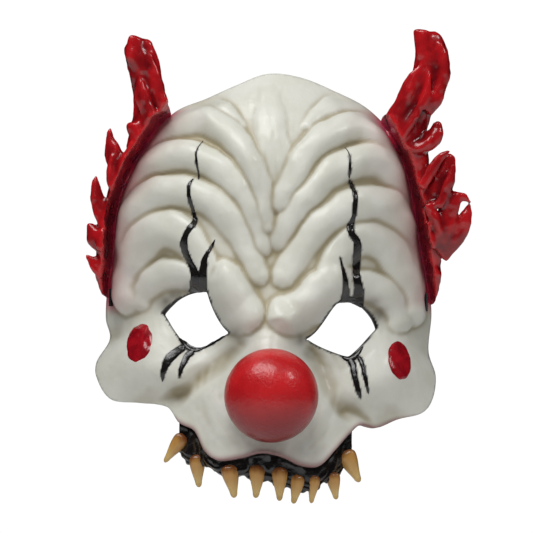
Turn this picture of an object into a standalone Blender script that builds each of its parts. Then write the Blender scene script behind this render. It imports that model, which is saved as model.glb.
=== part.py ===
# Clown half mask: a cast latex face with deep brow folds, worn upright.
# Metres. +X is the viewer's right, the face looks along -Y, +Z is up.
# The origin is where the brow rests against the wearer's forehead.
import math
from collections import namedtuple

import bmesh
import bpy
import numpy as np
from mathutils import Vector

# Sizes of the face
HALF_WIDE = 0.089         # centreline to the edge of a side tab
HALF_HIGH = 0.107         # half of the height from lip to crown
SIDE_DEPTH = 0.078        # brow to the back edge of a side tab
WALL = 0.0025             # thickness of the latex skin
CLEARANCE = 0.0003        # between neighbouring pieces
FOLD_HEIGHT = 0.0075      # how far a full brow fold stands out
BULGE_HEIGHT = 0.012      # how far a full swelling stands out
CREASE_DEPTH = 0.0035     # depth of a full crease
GRID_CELLS = 38           # cells across the face, each way

# Sizes of the nose
BALL_DIAMETER = 0.051
BALL_WALL = 0.002
BALL_STAND = 0.012        # centre of the ball in front of the skin that it sits in
BALL_TUCK = 0.004         # how far the ball reaches in behind the skin

# Sizes of the flames
TONGUE_FLATNESS = 0.72    # depth of a tongue as a share of its width
FLAME_REACH = 0.46 * SIDE_DEPTH  # middle of the flames behind the brow

# Sizes of the mouth
GUM_THICKNESS = 0.0075
GUM_TUCK = 0.004          # how far the gum reaches up behind the lip
GUM_PLAY = 0.0006         # between the gum and the lip
TOOTH_FLATNESS = 0.8      # depth of a tooth as a share of its width
TOOTH_ROOT = 0.0015       # length of a tooth above the place where it leaves the gum
TOOTH_SINK = 0.0012       # middle of a tooth behind the front of the gum

# Sizes of the elastic strap
STRAP_WIDTH = 0.010
STRAP_THICKNESS = 0.0012
STRAP_RISE = 0.045        # back of the strap above its slots
HEAD_DEPTH = 0.165        # brow to the back of the strap
STRAP_STEPS = 32
STRAP_PLAY = 0.0006       # between the strap and the skin round it
STOP_LENGTH = 0.008       # folded end outside each slot
SLOT_INSET = 0.009        # slot in front of the tab's back edge
STRAP_INSET = 0.010       # strap inside the tab, measured from its outer face

FACE_CENTRE_UP = 0.15     # centre of the grid, a share of HALF_HIGH
SIDE_ROUND = 3.1          # how sharply the sides turn back
LIP_ROUND = 1.5           # the same at the lip, which leans forward
ROLL_EDGE = 0.9           # 0.5 makes the side of a fold a half circle, 1 a parabola
ROLL_NARROW = 0.35        # width of a fold where it dies out, a share of its full width
OUTER_FADE = 0.3          # share of a fold over which its outer end grows
INNER_FADE = 0.45         # the same for its inner end
FOLD_FADE = 0.12          # folds die out over this share of the way to the skin's edge
BULGE_FADE = 0.25         # the same for swellings
BULGE_LEFT = 0.25         # share of a swelling that is left at the edge
BACK_ROUND = 0.5          # depth at the edge, a share of SIDE_DEPTH, that rounds fully
RIM_STEPS = 12            # points from one row of the rim to the next
FOLD_STEPS = 25           # points along a fold
LIP_TOP = -0.5            # the lip is the edge below this height, a share of HALF_HIGH,
LIP_HALF = 0.62           # and this near the middle, a share of HALF_WIDE

# Edge of the skin: shares of HALF_WIDE, HALF_HIGH and SIDE_DEPTH, clockwise from the crown
Rim = namedtuple("Rim", "across up back")
RIM = (
    Rim(0.00, 1.18, 0.54),
    Rim(0.21, 1.16, 0.55),
    Rim(0.42, 1.09, 0.58),
    Rim(0.61, 1.01, 0.61),
    Rim(0.75, 0.90, 0.64),
    Rim(0.84, 0.77, 0.68),
    Rim(0.90, 0.61, 0.73),
    Rim(0.94, 0.44, 0.78),
    Rim(0.98, 0.25, 0.83),
    Rim(1.02, 0.07, 0.88),
    Rim(1.04, -0.08, 0.88),
    Rim(1.015, -0.27, 0.70),
    Rim(1.055, -0.40, 0.54),
    Rim(1.03, -0.52, 0.40),
    Rim(0.96, -0.59, 0.32),
    Rim(0.81, -0.62, 0.25),
    Rim(0.68, -0.66, 0.14),
    Rim(0.58, -0.64, 0.04),
    Rim(0.50, -0.69, -0.06),
    Rim(0.41, -0.77, -0.18),
    Rim(0.32, -0.84, -0.28),
    Rim(0.21, -0.835, -0.35),
    Rim(0.09, -0.79, -0.38),
    Rim(-0.04, -0.77, -0.39),
    Rim(-0.17, -0.795, -0.38),
    Rim(-0.31, -0.81, -0.32),
    Rim(-0.39, -0.77, -0.21),
    Rim(-0.455, -0.67, -0.10),
    Rim(-0.55, -0.63, -0.01),
    Rim(-0.63, -0.55, 0.10),
    Rim(-0.80, -0.535, 0.25),
    Rim(-0.98, -0.52, 0.36),
    Rim(-1.07, -0.42, 0.48),
    Rim(-1.08, -0.33, 0.58),
    Rim(-1.00, -0.21, 0.72),
    Rim(-1.03, -0.10, 0.86),
    Rim(-1.02, 0.07, 0.88),
    Rim(-0.99, 0.25, 0.83),
    Rim(-0.97, 0.43, 0.78),
    Rim(-0.92, 0.60, 0.73),
    Rim(-0.83, 0.75, 0.68),
    Rim(-0.72, 0.88, 0.64),
    Rim(-0.57, 0.99, 0.61),
    Rim(-0.39, 1.05, 0.58),
    Rim(-0.20, 1.12, 0.55),
)

# Folds: a curve from outer end to inner end through two handles, in shares of
# HALF_WIDE and HALF_HIGH, half its width as a share of HALF_WIDE, its height as a
# share of FOLD_HEIGHT, and how full its two ends are
Fold = namedtuple("Fold", "start lift lean end width height outer inner")
FOLDS = (
    Fold((-0.45, 1.00), (-0.35, 1.03), (-0.26, 0.99), (-0.17, 0.90), 0.075, 0.60, 0.4, 0.4),
    Fold((-0.76, 0.74), (-0.67, 1.06), (-0.04, 1.01), (-0.01, 0.37), 0.105, 1.00, 0.6, 0.5),
    Fold((-0.91, 0.40), (-0.93, 0.83), (-0.20, 0.93), (-0.04, 0.28), 0.105, 1.00, 0.8, 0.5),
    Fold((-0.96, 0.10), (-0.93, 0.62), (-0.39, 0.86), (-0.11, 0.11), 0.115, 1.00, 0.9, 0.5),
    Fold((-0.88, 0.02), (-0.87, 0.39), (-0.52, 0.55), (-0.32, 0.16), 0.120, 1.00, 0.9, 0.8),
    Fold((-0.79, 0.00), (-0.73, 0.16), (-0.48, 0.16), (-0.39, 0.06), 0.095, 0.85, 0.6, 0.6),
    Fold((-0.35, 0.22), (-0.32, 0.08), (-0.25, 0.00), (-0.14, -0.08), 0.140, 1.25, 0.7, 0.8),
    Fold((0.61, 0.98), (0.51, 1.05), (0.35, 1.02), (0.26, 0.91), 0.075, 0.60, 0.4, 0.4),
    Fold((0.87, 0.55), (0.82, 0.99), (0.26, 1.01), (0.10, 0.50), 0.105, 1.00, 0.7, 0.5),
    Fold((0.92, 0.40), (0.82, 0.86), (0.42, 0.87), (0.05, 0.34), 0.100, 1.00, 0.8, 0.5),
    Fold((0.98, 0.08), (0.88, 0.62), (0.51, 0.74), (0.10, 0.22), 0.125, 1.00, 0.9, 0.5),
    Fold((0.90, -0.05), (0.85, 0.34), (0.54, 0.44), (0.31, 0.15), 0.120, 1.00, 0.8, 0.8),
    Fold((0.48, 0.02), (0.60, 0.11), (0.77, 0.10), (0.82, -0.11), 0.095, 0.85, 0.6, 0.6),
    Fold((0.40, 0.19), (0.36, 0.08), (0.27, 0.00), (0.15, -0.08), 0.140, 1.25, 0.7, 0.8),
    Fold((0.00, 1.06), (0.01, 0.88), (0.02, 0.70), (0.03, 0.54), 0.110, 0.25, 0.5, 0.5),
)

# Creases sink where a fold stands out; their height is a share of CREASE_DEPTH
CREASES = (
    Fold((-0.17, -0.23), (-0.27, -0.34), (-0.48, -0.40), (-0.63, -0.55), 0.045, 1.0, 0.5, 1.0),
    Fold((0.26, -0.26), (0.34, -0.37), (0.40, -0.52), (0.58, -0.64), 0.045, 1.0, 0.5, 1.0),
)

# Swellings, or hollows where the rise is negative: centre and radii in shares of
# HALF_WIDE and HALF_HIGH, lean in degrees, rise as a share of BULGE_HEIGHT
Mound = namedtuple("Mound", "across up wide high lean rise")
MOUNDS = (
    Mound(-0.22, 0.02, 0.20, 0.26, 25, 0.70),
    Mound(0.24, 0.00, 0.20, 0.26, -25, 0.70),
    Mound(-0.45, -0.11, 0.26, 0.20, -5, -0.75),
    Mound(0.46, -0.15, 0.26, 0.20, 5, -0.75),
    Mound(0.02, 0.42, 0.14, 0.25, 0, -0.35),
    Mound(0.01, -0.30, 0.15, 0.24, 0, 1.00),
    Mound(-0.82, -0.36, 0.22, 0.20, 0, 0.45),
    Mound(0.83, -0.40, 0.22, 0.20, 0, 0.45),
    Mound(-0.58, -0.38, 0.22, 0.14, 25, 0.40),
    Mound(0.60, -0.45, 0.22, 0.16, -30, 0.40),
    Mound(0.00, -0.62, 0.42, 0.26, 0, 0.80),
)

# A side of an eye hole: a curve between two corners through two handles
Lid = namedtuple("Lid", "start lift lean end")
EYES = {
    "left": (
        Lid((-0.655, -0.070), (-0.585, 0.000), (-0.470, 0.045), (-0.375, 0.040)),
        Lid((-0.375, 0.040), (-0.345, -0.060), (-0.300, -0.130), (-0.240, -0.170)),
        Lid((-0.240, -0.170), (-0.310, -0.200), (-0.370, -0.250), (-0.445, -0.250)),
        Lid((-0.445, -0.250), (-0.530, -0.250), (-0.585, -0.140), (-0.655, -0.070)),
    ),
    "right": (
        Lid((0.240, -0.200), (0.330, -0.165), (0.375, -0.055), (0.425, -0.020)),
        Lid((0.425, -0.020), (0.520, 0.015), (0.650, -0.050), (0.680, -0.145)),
        Lid((0.680, -0.145), (0.620, -0.190), (0.560, -0.260), (0.495, -0.295)),
        Lid((0.495, -0.295), (0.410, -0.275), (0.300, -0.240), (0.240, -0.200)),
    ),
}
LID_STEPS = 5

BALL_ACROSS = 0.02        # centre of the ball, shares of HALF_WIDE and HALF_HIGH
BALL_UP = -0.48

# Tongues of a flame: curve through two handles, half widths at root, middle and tip
# as shares of HALF_WIDE, and the root's and tip's depth as shares of FLAME_REACH
Tongue = namedtuple("Tongue", "root lift lean tip thick middle thin near far")
FLAMES = {
    "left": (
        Tongue((-0.78, 0.66), (-0.63, 1.00), (-0.87, 1.20), (-0.82, 1.38), 0.14, 0.110, 0.055, 0.9, 0.8),
        Tongue((-0.80, 0.80), (-0.84, 0.72), (-0.93, 0.50), (-0.95, 0.36), 0.13, 0.130, 0.100, 0.9, 1.1),
        Tongue((-0.93, 0.55), (-0.97, 0.68), (-0.92, 0.78), (-0.99, 0.87), 0.09, 0.060, 0.018, 1.0, 1.0),
        Tongue((-0.95, 0.42), (-1.04, 0.40), (-1.04, 0.52), (-1.06, 0.64), 0.09, 0.065, 0.018, 1.1, 1.1),
        Tongue((-0.95, 0.28), (-1.04, 0.24), (-1.10, 0.30), (-1.12, 0.39), 0.08, 0.055, 0.018, 1.2, 1.1),
        Tongue((-0.94, 0.46), (-0.99, 0.34), (-1.00, 0.20), (-0.99, 0.06), 0.10, 0.080, 0.045, 1.1, 1.3),
        Tongue((-0.98, 0.02), (-1.01, 0.10), (-1.09, 0.18), (-1.14, 0.22), 0.06, 0.050, 0.018, 1.3, 1.2),
    ),
    "right": (
        Tongue((0.84, 0.74), (0.92, 1.02), (1.14, 1.22), (0.94, 1.43), 0.15, 0.120, 0.040, 0.9, 0.8),
        Tongue((0.82, 0.84), (0.90, 0.74), (0.94, 0.56), (0.97, 0.36), 0.13, 0.135, 0.110, 0.9, 1.1),
        Tongue((0.95, 0.66), (1.02, 0.74), (1.04, 0.80), (1.06, 0.86), 0.10, 0.070, 0.020, 1.0, 1.0),
        Tongue((0.99, 0.40), (1.08, 0.50), (1.14, 0.60), (1.14, 0.76), 0.10, 0.070, 0.020, 1.1, 1.0),
        Tongue((0.98, 0.26), (1.08, 0.32), (1.20, 0.38), (1.25, 0.51), 0.11, 0.080, 0.018, 1.2, 1.1),
        Tongue((0.95, 0.46), (0.98, 0.34), (1.02, 0.22), (1.03, 0.08), 0.11, 0.095, 0.045, 1.1, 1.3),
        Tongue((1.03, 0.04), (1.05, 0.10), (1.06, 0.16), (1.05, 0.22), 0.06, 0.050, 0.018, 1.3, 1.3),
    ),
}
TONGUE_STEPS = 7

# Lower edge of the gum, with a point between each two teeth
GumEdge = namedtuple("GumEdge", "across up")
GUM_EDGE = (
    GumEdge(-0.55, -0.76),
    GumEdge(-0.50, -0.82),
    GumEdge(-0.44, -0.81),
    GumEdge(-0.33, -0.875),
    GumEdge(-0.15, -0.90),
    GumEdge(0.00, -0.92),
    GumEdge(0.12, -0.94),
    GumEdge(0.23, -0.97),
    GumEdge(0.33, -0.94),
    GumEdge(0.43, -0.88),
    GumEdge(0.52, -0.80),
)
GUM_STEPS = 24
GUM_ROWS = 2

# Teeth: where each leaves the gum, its tip, and half its width as a share of HALF_WIDE
Tooth = namedtuple("Tooth", "across up tip_across tip_up width")
TEETH = (
    Tooth(-0.525, -0.705, -0.640, -0.835, 0.048),
    Tooth(-0.435, -0.805, -0.425, -0.960, 0.050),
    Tooth(-0.240, -0.850, -0.205, -1.005, 0.055),
    Tooth(-0.070, -0.850, -0.075, -1.005, 0.047),
    Tooth(0.070, -0.860, 0.070, -1.020, 0.047),
    Tooth(0.180, -0.900, 0.155, -1.035, 0.043),
    Tooth(0.285, -0.905, 0.265, -1.035, 0.038),
    Tooth(0.400, -0.895, 0.420, -1.020, 0.044),
    Tooth(0.480, -0.785, 0.565, -0.935, 0.060),
)

# Turned profile of a tooth: height from tip to root and radius, shares of its own sizes
Turn = namedtuple("Turn", "height radius")
TOOTH_PROFILE = (
    Turn(0.00, 0.00),
    Turn(0.02, 0.28),
    Turn(0.12, 0.56),
    Turn(0.35, 0.84),
    Turn(0.65, 1.00),
    Turn(1.00, 0.95),
    Turn(1.00, 0.00),
)
TOOTH_SIDES = 10

# Collections and materials


def clear_scene():
    for old in list(bpy.data.objects):
        bpy.data.objects.remove(old, do_unlink=True)


def new_collection(name):
    collection = bpy.data.collections.new(name)
    bpy.context.scene.collection.children.link(collection)
    return collection


def new_material(name, color, roughness):
    material = bpy.data.materials.new(name)
    material.use_nodes = True
    shader = material.node_tree.nodes["Principled BSDF"]
    shader.inputs["Base Color"].default_value = (*color, 1.0)
    shader.inputs["Roughness"].default_value = roughness
    shader.inputs["Metallic"].default_value = 0.0
    return material


def add_object(name, mesh, collection, material=None):
    item = bpy.data.objects.new(name, mesh)
    collection.objects.link(item)
    if material:
        mesh.materials.clear()
        mesh.materials.append(material)
    return item


def mark_as_guide(item):
    item.hide_render = True
    item.display_type = "WIRE"


def mesh_from_bmesh(name, shape):
    mesh = bpy.data.meshes.new(name)
    shape.to_mesh(mesh)
    shape.free()
    return mesh


def bake_mesh(item, name):
    # Plain mesh of an object with its modifiers, in world space
    depsgraph = bpy.context.evaluated_depsgraph_get()
    evaluated = item.evaluated_get(depsgraph)
    mesh = bpy.data.meshes.new_from_object(evaluated, depsgraph=depsgraph)
    mesh.name = name
    mesh.transform(item.matrix_world)
    return mesh


def weld_mesh(mesh, distance=0.00002):
    shape = bmesh.new()
    shape.from_mesh(mesh)
    bmesh.ops.remove_doubles(shape, verts=shape.verts, dist=distance)
    bmesh.ops.recalc_face_normals(shape, faces=shape.faces)
    shape.to_mesh(mesh)
    shape.free()


def boolean(item, tool, operation):
    modifier = item.modifiers.new(operation.lower(), "BOOLEAN")
    modifier.operation = operation
    modifier.solver = "EXACT"
    modifier.object = tool
    return modifier


# Curves and blends


def bezier(start, lift, lean, end, share):
    # Cubic curve; each point is a pair of numbers, share runs from 0 to 1
    share = np.asarray(share)[..., None]
    rest = 1.0 - share
    first = rest ** 3 * np.asarray(start) + 3 * rest ** 2 * share * np.asarray(lift)
    second = 3 * rest * share ** 2 * np.asarray(lean) + share ** 3 * np.asarray(end)
    return first + second


def smooth_step(value):
    value = np.clip(value, 0.0, 1.0)
    return value * value * (3.0 - 2.0 * value)


def rim_loop():
    # The edge as a closed smooth curve: many points and the share of the way round
    rows = np.array(RIM)
    steps = np.linspace(0.0, 1.0, RIM_STEPS, endpoint=False)[:, None]
    pieces = []
    for index in range(len(rows)):
        before = rows[index - 1]
        here = rows[index]
        after = rows[(index + 1) % len(rows)]
        beyond = rows[(index + 2) % len(rows)]
        slope_in = (after - before) / 2.0
        slope_out = (beyond - here) / 2.0
        bend = 3 * (after - here) - 2 * slope_in - slope_out
        twist = slope_in + slope_out - 2 * (after - here)
        pieces.append(here + steps * (slope_in + steps * (bend + steps * twist)))
    points = np.vstack(pieces + [rows[:1]])
    legs = np.linalg.norm(np.diff(points[:, :2], axis=0), axis=1)
    way = np.concatenate(([0.0], np.cumsum(legs)))
    return points, way / way[-1]


def rim_at(way):
    points, shares = rim_loop()
    return np.stack([np.interp(way, shares, points[:, axis]) for axis in range(3)], axis=1)


def lip_at(across):
    # Height and depth of the lip's lower edge at places across it
    points, _ = rim_loop()
    lower = points[(points[:, 1] < LIP_TOP) & (np.abs(points[:, 0]) < LIP_HALF)]
    lower = lower[np.argsort(lower[:, 0])]
    height = np.interp(across, lower[:, 0], lower[:, 1]) * HALF_HIGH
    depth = np.interp(across, lower[:, 0], lower[:, 2]) * SIDE_DEPTH
    return height, depth


# The face surface


def square_to_ring(side, rise):
    # A square grid point becomes a distance from the centre and a way round it
    ring = np.maximum(np.abs(side), np.abs(rise))
    safe = np.where(ring < 1e-9, 1.0, ring)
    across = side / safe
    up = rise / safe
    top = up >= 0.999999
    right = (across >= 0.999999) & ~top
    bottom = (up <= -0.999999) & ~right
    left = ~(top | right | bottom)
    way = np.where(across >= 0, across / 8, 1 + across / 8)
    way = np.where(right, 0.25 - up / 8, way)
    way = np.where(bottom, 0.5 - across / 8, way)
    way = np.where(left, 0.75 + up / 8, way)
    return ring, way


def mound_depth(across, up):
    total = np.zeros_like(across)
    for mound in MOUNDS:
        turn = math.radians(mound.lean)
        side = (across - mound.across) * HALF_WIDE
        rise = (up - mound.up) * HALF_HIGH
        along = (side * math.cos(turn) + rise * math.sin(turn)) / (mound.wide * HALF_WIDE)
        over = (rise * math.cos(turn) - side * math.sin(turn)) / (mound.high * HALF_HIGH)
        total += mound.rise * np.exp(-(along ** 2 + over ** 2))
    return total * BULGE_HEIGHT


def ridge(fold, across, up):
    # Rounded roll along the fold's curve, 0 outside it and 1 on its crest
    steps = np.linspace(0.0, 1.0, FOLD_STEPS)
    curve = bezier(fold.start, fold.lift, fold.lean, fold.end, steps)
    curve = curve * (HALF_WIDE, HALF_HIGH)
    best = np.zeros_like(across)
    place = np.stack([across * HALF_WIDE, up * HALF_HIGH], axis=1)
    for index in range(len(steps) - 1):
        leg = curve[index + 1] - curve[index]
        reach = place - curve[index]
        share = np.clip(reach @ leg / (leg @ leg), 0.0, 1.0)
        gap = np.linalg.norm(reach - share[:, None] * leg, axis=1)
        along = steps[index] + share * (steps[1] - steps[0])
        swell = fold.outer + (1 - fold.outer) * smooth_step(along / OUTER_FADE)
        swell *= fold.inner + (1 - fold.inner) * smooth_step((1 - along) / INNER_FADE)
        radius = fold.width * HALF_WIDE * (ROLL_NARROW + (1 - ROLL_NARROW) * swell)
        roll = np.clip(1.0 - (gap / radius) ** 2, 0.0, None) ** ROLL_EDGE * swell
        best = np.maximum(best, roll)
    return best * fold.height


def relief(ring, across, up):
    folds = np.zeros_like(across)
    for fold in FOLDS:
        folds = np.maximum(folds, ridge(fold, across, up))
    cuts = np.zeros_like(across)
    for crease in CREASES:
        cuts = np.maximum(cuts, ridge(crease, across, up))
    fade = smooth_step((1.0 - ring) / FOLD_FADE)
    return fade * (folds * FOLD_HEIGHT - cuts * CREASE_DEPTH)


def face_base(ring, way):
    # Place of the skin before its folds, and its shares across and up
    edge = rim_at(way)
    across = ring * edge[:, 0]
    up = FACE_CENTRE_UP + ring * (edge[:, 1] - FACE_CENTRE_UP)
    roundness = LIP_ROUND + (SIDE_ROUND - LIP_ROUND) * smooth_step(edge[:, 2] / BACK_ROUND)
    back = edge[:, 2] * SIDE_DEPTH * ring ** roundness
    fade = smooth_step((1.0 - ring) / BULGE_FADE)
    back = back - mound_depth(across, up) * (BULGE_LEFT + (1 - BULGE_LEFT) * fade)
    place = np.stack([across * HALF_WIDE, back, up * HALF_HIGH], axis=1)
    return place, across, up


def face_sheet(stand_off, margin=0.0):
    # The outer surface of the skin, moved out by stand_off, past its edge by margin
    shape = bmesh.new()
    bmesh.ops.create_grid(shape, x_segments=GRID_CELLS, y_segments=GRID_CELLS, size=1.0)
    spots = np.array([vert.co[:] for vert in shape.verts])
    ring, way = square_to_ring(spots[:, 0], spots[:, 1])
    ring = ring * (1.0 + margin / HALF_WIDE)
    place, across, up = face_base(ring, way)
    for vert, spot in zip(shape.verts, place):
        vert.co = spot
    bmesh.ops.triangulate(shape, faces=shape.faces, quad_method="SHORT_EDGE")
    shape.normal_update()
    raised = relief(ring, across, up) + stand_off
    for vert, rise in zip(shape.verts, raised):
        vert.co += vert.normal * rise
    return shape


def face_samples():
    # Places on the facets of the skin, a few to each facet
    shape = face_sheet(0.0)
    bmesh.ops.subdivide_edges(shape, edges=shape.edges, cuts=3, use_grid_fill=True)
    places = np.array([vert.co[:] for vert in shape.verts])
    shape.free()
    return places


def face_depth(across, up):
    # Depth of the skin at one place seen from the front
    places = face_samples()
    aside = places[:, 0] - across * HALF_WIDE
    above = places[:, 2] - up * HALF_HIGH
    return places[np.argmin(aside ** 2 + above ** 2), 1]


def build_blank(name, stand_off, guides):
    # Solid that fills the face from its skin back, used to seat the flames
    shape = face_sheet(stand_off)
    edge = [item for item in shape.edges if item.is_boundary]
    extruded = bmesh.ops.extrude_edge_only(shape, edges=edge)
    moved = [item for item in extruded["geom"] if isinstance(item, bmesh.types.BMVert)]
    for vert in moved:
        vert.co.y = SIDE_DEPTH + HEAD_DEPTH
    rear = [item for item in extruded["geom"] if isinstance(item, bmesh.types.BMEdge)]
    bmesh.ops.edgeloop_fill(shape, edges=[item for item in rear if item.is_boundary])
    bmesh.ops.recalc_face_normals(shape, faces=shape.faces)
    blank = add_object(name, mesh_from_bmesh(name, shape), guides)
    mark_as_guide(blank)
    return blank


# Cutters of the skin


def build_eye_cutter(name, lids, guides):
    # The outline of an eye hole, extruded through the face
    curve = bpy.data.curves.new(name, "CURVE")
    curve.dimensions = "2D"
    curve.fill_mode = "BOTH"
    curve.extrude = SIDE_DEPTH
    points = []
    for lid in lids:
        steps = np.linspace(0.0, 1.0, LID_STEPS, endpoint=False)
        points.extend(bezier(lid.start, lid.lift, lid.lean, lid.end, steps))
    spline = curve.splines.new("POLY")
    spline.points.add(len(points) - 1)
    for knot, (across, up) in zip(spline.points, points):
        knot.co = (across * HALF_WIDE, up * HALF_HIGH, 0.0, 1.0)
    spline.use_cyclic_u = True
    outline = bpy.data.objects.new(name + "_outline", curve)
    outline.rotation_euler = (math.radians(90.0), 0.0, 0.0)
    guides.objects.link(outline)
    bpy.context.view_layer.update()
    mesh = bake_mesh(outline, name)
    weld_mesh(mesh)
    bpy.data.objects.remove(outline, do_unlink=True)
    cutter = add_object(name, mesh, guides)
    mark_as_guide(cutter)
    return cutter


def ball_centre():
    depth = face_depth(BALL_ACROSS, BALL_UP) - BALL_STAND
    return Vector((BALL_ACROSS * HALF_WIDE, depth, BALL_UP * HALF_HIGH))


def ball_reach():
    # How far the ball's open back lies behind its centre
    return BALL_STAND + WALL + BALL_TUCK


def build_ball_seat(guides):
    shape = bmesh.new()
    radius = BALL_DIAMETER / 2.0 + CLEARANCE
    bmesh.ops.create_uvsphere(shape, u_segments=40, v_segments=24, radius=radius)
    seat = add_object("ball_seat", mesh_from_bmesh("ball_seat", shape), guides)
    seat.location = ball_centre()
    mark_as_guide(seat)
    return seat


def build_nose_hole(guides):
    # Round hole behind the ball, as wide as the ball's open back
    radius = math.sqrt((BALL_DIAMETER / 2.0) ** 2 - ball_reach() ** 2) + CLEARANCE
    shape = bmesh.new()
    bmesh.ops.create_cone(
        shape,
        cap_ends=True,
        segments=24,
        radius1=radius,
        radius2=radius,
        depth=BALL_DIAMETER,
    )
    hole = add_object("nose_hole", mesh_from_bmesh("nose_hole", shape), guides)
    hole.rotation_euler = (math.radians(90.0), 0.0, 0.0)
    hole.location = ball_centre() + Vector((0.0, BALL_DIAMETER / 2.0, 0.0))
    mark_as_guide(hole)
    return hole


def tab_edge(side):
    # The back edge of a side tab at the height of the strap
    points, _ = rim_loop()
    half = points[points[:, 0] * side > 0.9]
    tab = half[np.argmax(half[:, 2])]
    return Vector((tab[0] * HALF_WIDE, tab[2] * SIDE_DEPTH, tab[1] * HALF_HIGH))


def build_slot(side, guides):
    edge = tab_edge(side)
    shape = bmesh.new()
    bmesh.ops.create_cube(shape, size=1.0)
    name = "slot_left" if side < 0 else "slot_right"
    slot = add_object(name, mesh_from_bmesh(name, shape), guides)
    gap = STRAP_THICKNESS + 2 * STRAP_PLAY
    slot.scale = (HALF_WIDE * 0.5, gap, STRAP_WIDTH + 2 * STRAP_PLAY)
    slot.location = (edge.x, edge.y - SLOT_INSET, edge.z)
    mark_as_guide(slot)
    return slot


# Pieces


def build_face_shell(parts, guides, material):
    mesh = mesh_from_bmesh("face_shell", face_sheet(0.0))
    shell = add_object("face_shell", mesh, parts, material)
    mesh.shade_smooth()
    solid = shell.modifiers.new("skin", "SOLIDIFY")
    solid.thickness = WALL
    solid.offset = -1.0
    for name, lids in EYES.items():
        boolean(shell, build_eye_cutter("eye_" + name, lids, guides), "DIFFERENCE")
    boolean(shell, build_ball_seat(guides), "DIFFERENCE")
    boolean(shell, build_nose_hole(guides), "DIFFERENCE")
    for side in (-1, 1):
        boolean(shell, build_slot(side, guides), "DIFFERENCE")
    return shell


def build_nose_ball(parts, guides, material):
    radius = BALL_DIAMETER / 2.0
    shape = bmesh.new()
    bmesh.ops.create_uvsphere(shape, u_segments=22, v_segments=12, radius=radius)
    ball = add_object("nose_ball", mesh_from_bmesh("nose_ball", shape), parts, material)
    ball.location = ball_centre()
    ball.data.shade_smooth()
    hollow = bmesh.new()
    bmesh.ops.create_uvsphere(hollow, u_segments=18, v_segments=10, radius=radius - BALL_WALL)
    core = add_object("ball_core", mesh_from_bmesh("ball_core", hollow), guides)
    core.location = ball.location
    mark_as_guide(core)
    back = bmesh.new()
    bmesh.ops.create_cube(back, size=2 * BALL_DIAMETER)
    cut = add_object("ball_back", mesh_from_bmesh("ball_back", back), guides)
    cut.location = ball.location + Vector((0.0, ball_reach() + BALL_DIAMETER, 0.0))
    mark_as_guide(cut)
    boolean(ball, core, "DIFFERENCE")
    boolean(ball, cut, "DIFFERENCE")
    return ball


def build_tongue(name, row, guides):
    # A tapered tube, flattened front to back
    steps = np.linspace(0.0, 1.0, TONGUE_STEPS)
    line = bezier(row.root, row.lift, row.lean, row.tip, steps)
    curve = bpy.data.curves.new(name, "CURVE")
    curve.dimensions = "3D"
    curve.bevel_depth = HALF_WIDE
    curve.bevel_resolution = 2
    curve.use_fill_caps = True
    spline = curve.splines.new("POLY")
    spline.points.add(len(line) - 1)
    for knot, spot, step in zip(spline.points, line, steps):
        early = row.thick + (row.middle - row.thick) * min(1.0, 2 * step)
        late = max(0.0, 2 * step - 1.0)
        knot.radius = early + (row.thin - row.middle) * late ** 1.5
        depth = (row.near + (row.far - row.near) * step) * FLAME_REACH
        knot.co = (spot[0] * HALF_WIDE, depth / TONGUE_FLATNESS, spot[1] * HALF_HIGH, 1.0)
    tube = bpy.data.objects.new(name + "_line", curve)
    tube.scale.y = TONGUE_FLATNESS
    guides.objects.link(tube)
    bpy.context.view_layer.update()
    mesh = bake_mesh(tube, name)
    weld_mesh(mesh)
    bpy.data.objects.remove(tube, do_unlink=True)
    return mesh


def build_flames(side, parts, guides, blank, material):
    name = "hair_flames_" + side
    rows = FLAMES[side]
    mesh = build_tongue(name, rows[0], guides)
    flames = add_object(name, mesh, parts, material)
    mesh.shade_smooth()
    for number, row in enumerate(rows[1:], start=2):
        label = name + "_tongue_" + str(number)
        tongue = add_object(label, build_tongue(label, row, guides), guides)
        mark_as_guide(tongue)
        boolean(flames, tongue, "UNION")
    boolean(flames, blank, "DIFFERENCE")
    return flames


def build_sleeve(guides):
    # The skin grown by the gum's play on every side, which the gum is cut by
    mesh = mesh_from_bmesh("skin_sleeve", face_sheet(GUM_PLAY, 2 * GUM_PLAY))
    sleeve = add_object("skin_sleeve", mesh, guides)
    solid = sleeve.modifiers.new("skin", "SOLIDIFY")
    solid.thickness = WALL + 2 * GUM_PLAY
    solid.offset = -1.0
    mark_as_guide(sleeve)
    return sleeve


def gum_bottom(across):
    rows = np.array(GUM_EDGE)
    return np.interp(across, rows[:, 0], rows[:, 1]) * HALF_HIGH


def gum_front(across):
    return lip_at(across)[1] + WALL


def build_tooth_mesh(name, row, grow):
    # A turned peg along +Z from its tip at the origin, flattened front to back
    tip = Vector((row.tip_across * HALF_WIDE, 0.0, row.tip_up * HALF_HIGH))
    neck = Vector((row.across * HALF_WIDE, 0.0, row.up * HALF_HIGH))
    length = (neck - tip).length + TOOTH_ROOT
    width = row.width * HALF_WIDE
    shape = bmesh.new()
    rings = []
    for turn in reversed(TOOTH_PROFILE):
        rise = turn.height * (length + 2 * grow) - grow
        rings.append(shape.verts.new((turn.radius * (width + grow), 0.0, rise)))
    for upper, lower in zip(rings, rings[1:]):
        shape.edges.new((upper, lower))
    mesh = mesh_from_bmesh(name, shape)
    profile = bpy.data.objects.new(name + "_profile", mesh)
    bpy.context.scene.collection.objects.link(profile)
    screw = profile.modifiers.new("turn", "SCREW")
    screw.steps = TOOTH_SIDES
    screw.render_steps = TOOTH_SIDES
    screw.use_merge_vertices = True
    screw.merge_threshold = 0.00001
    profile.scale.y = TOOTH_FLATNESS
    bpy.context.view_layer.update()
    turned = bake_mesh(profile, name)
    weld_mesh(turned)
    bpy.data.objects.remove(profile, do_unlink=True)
    return turned


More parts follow.
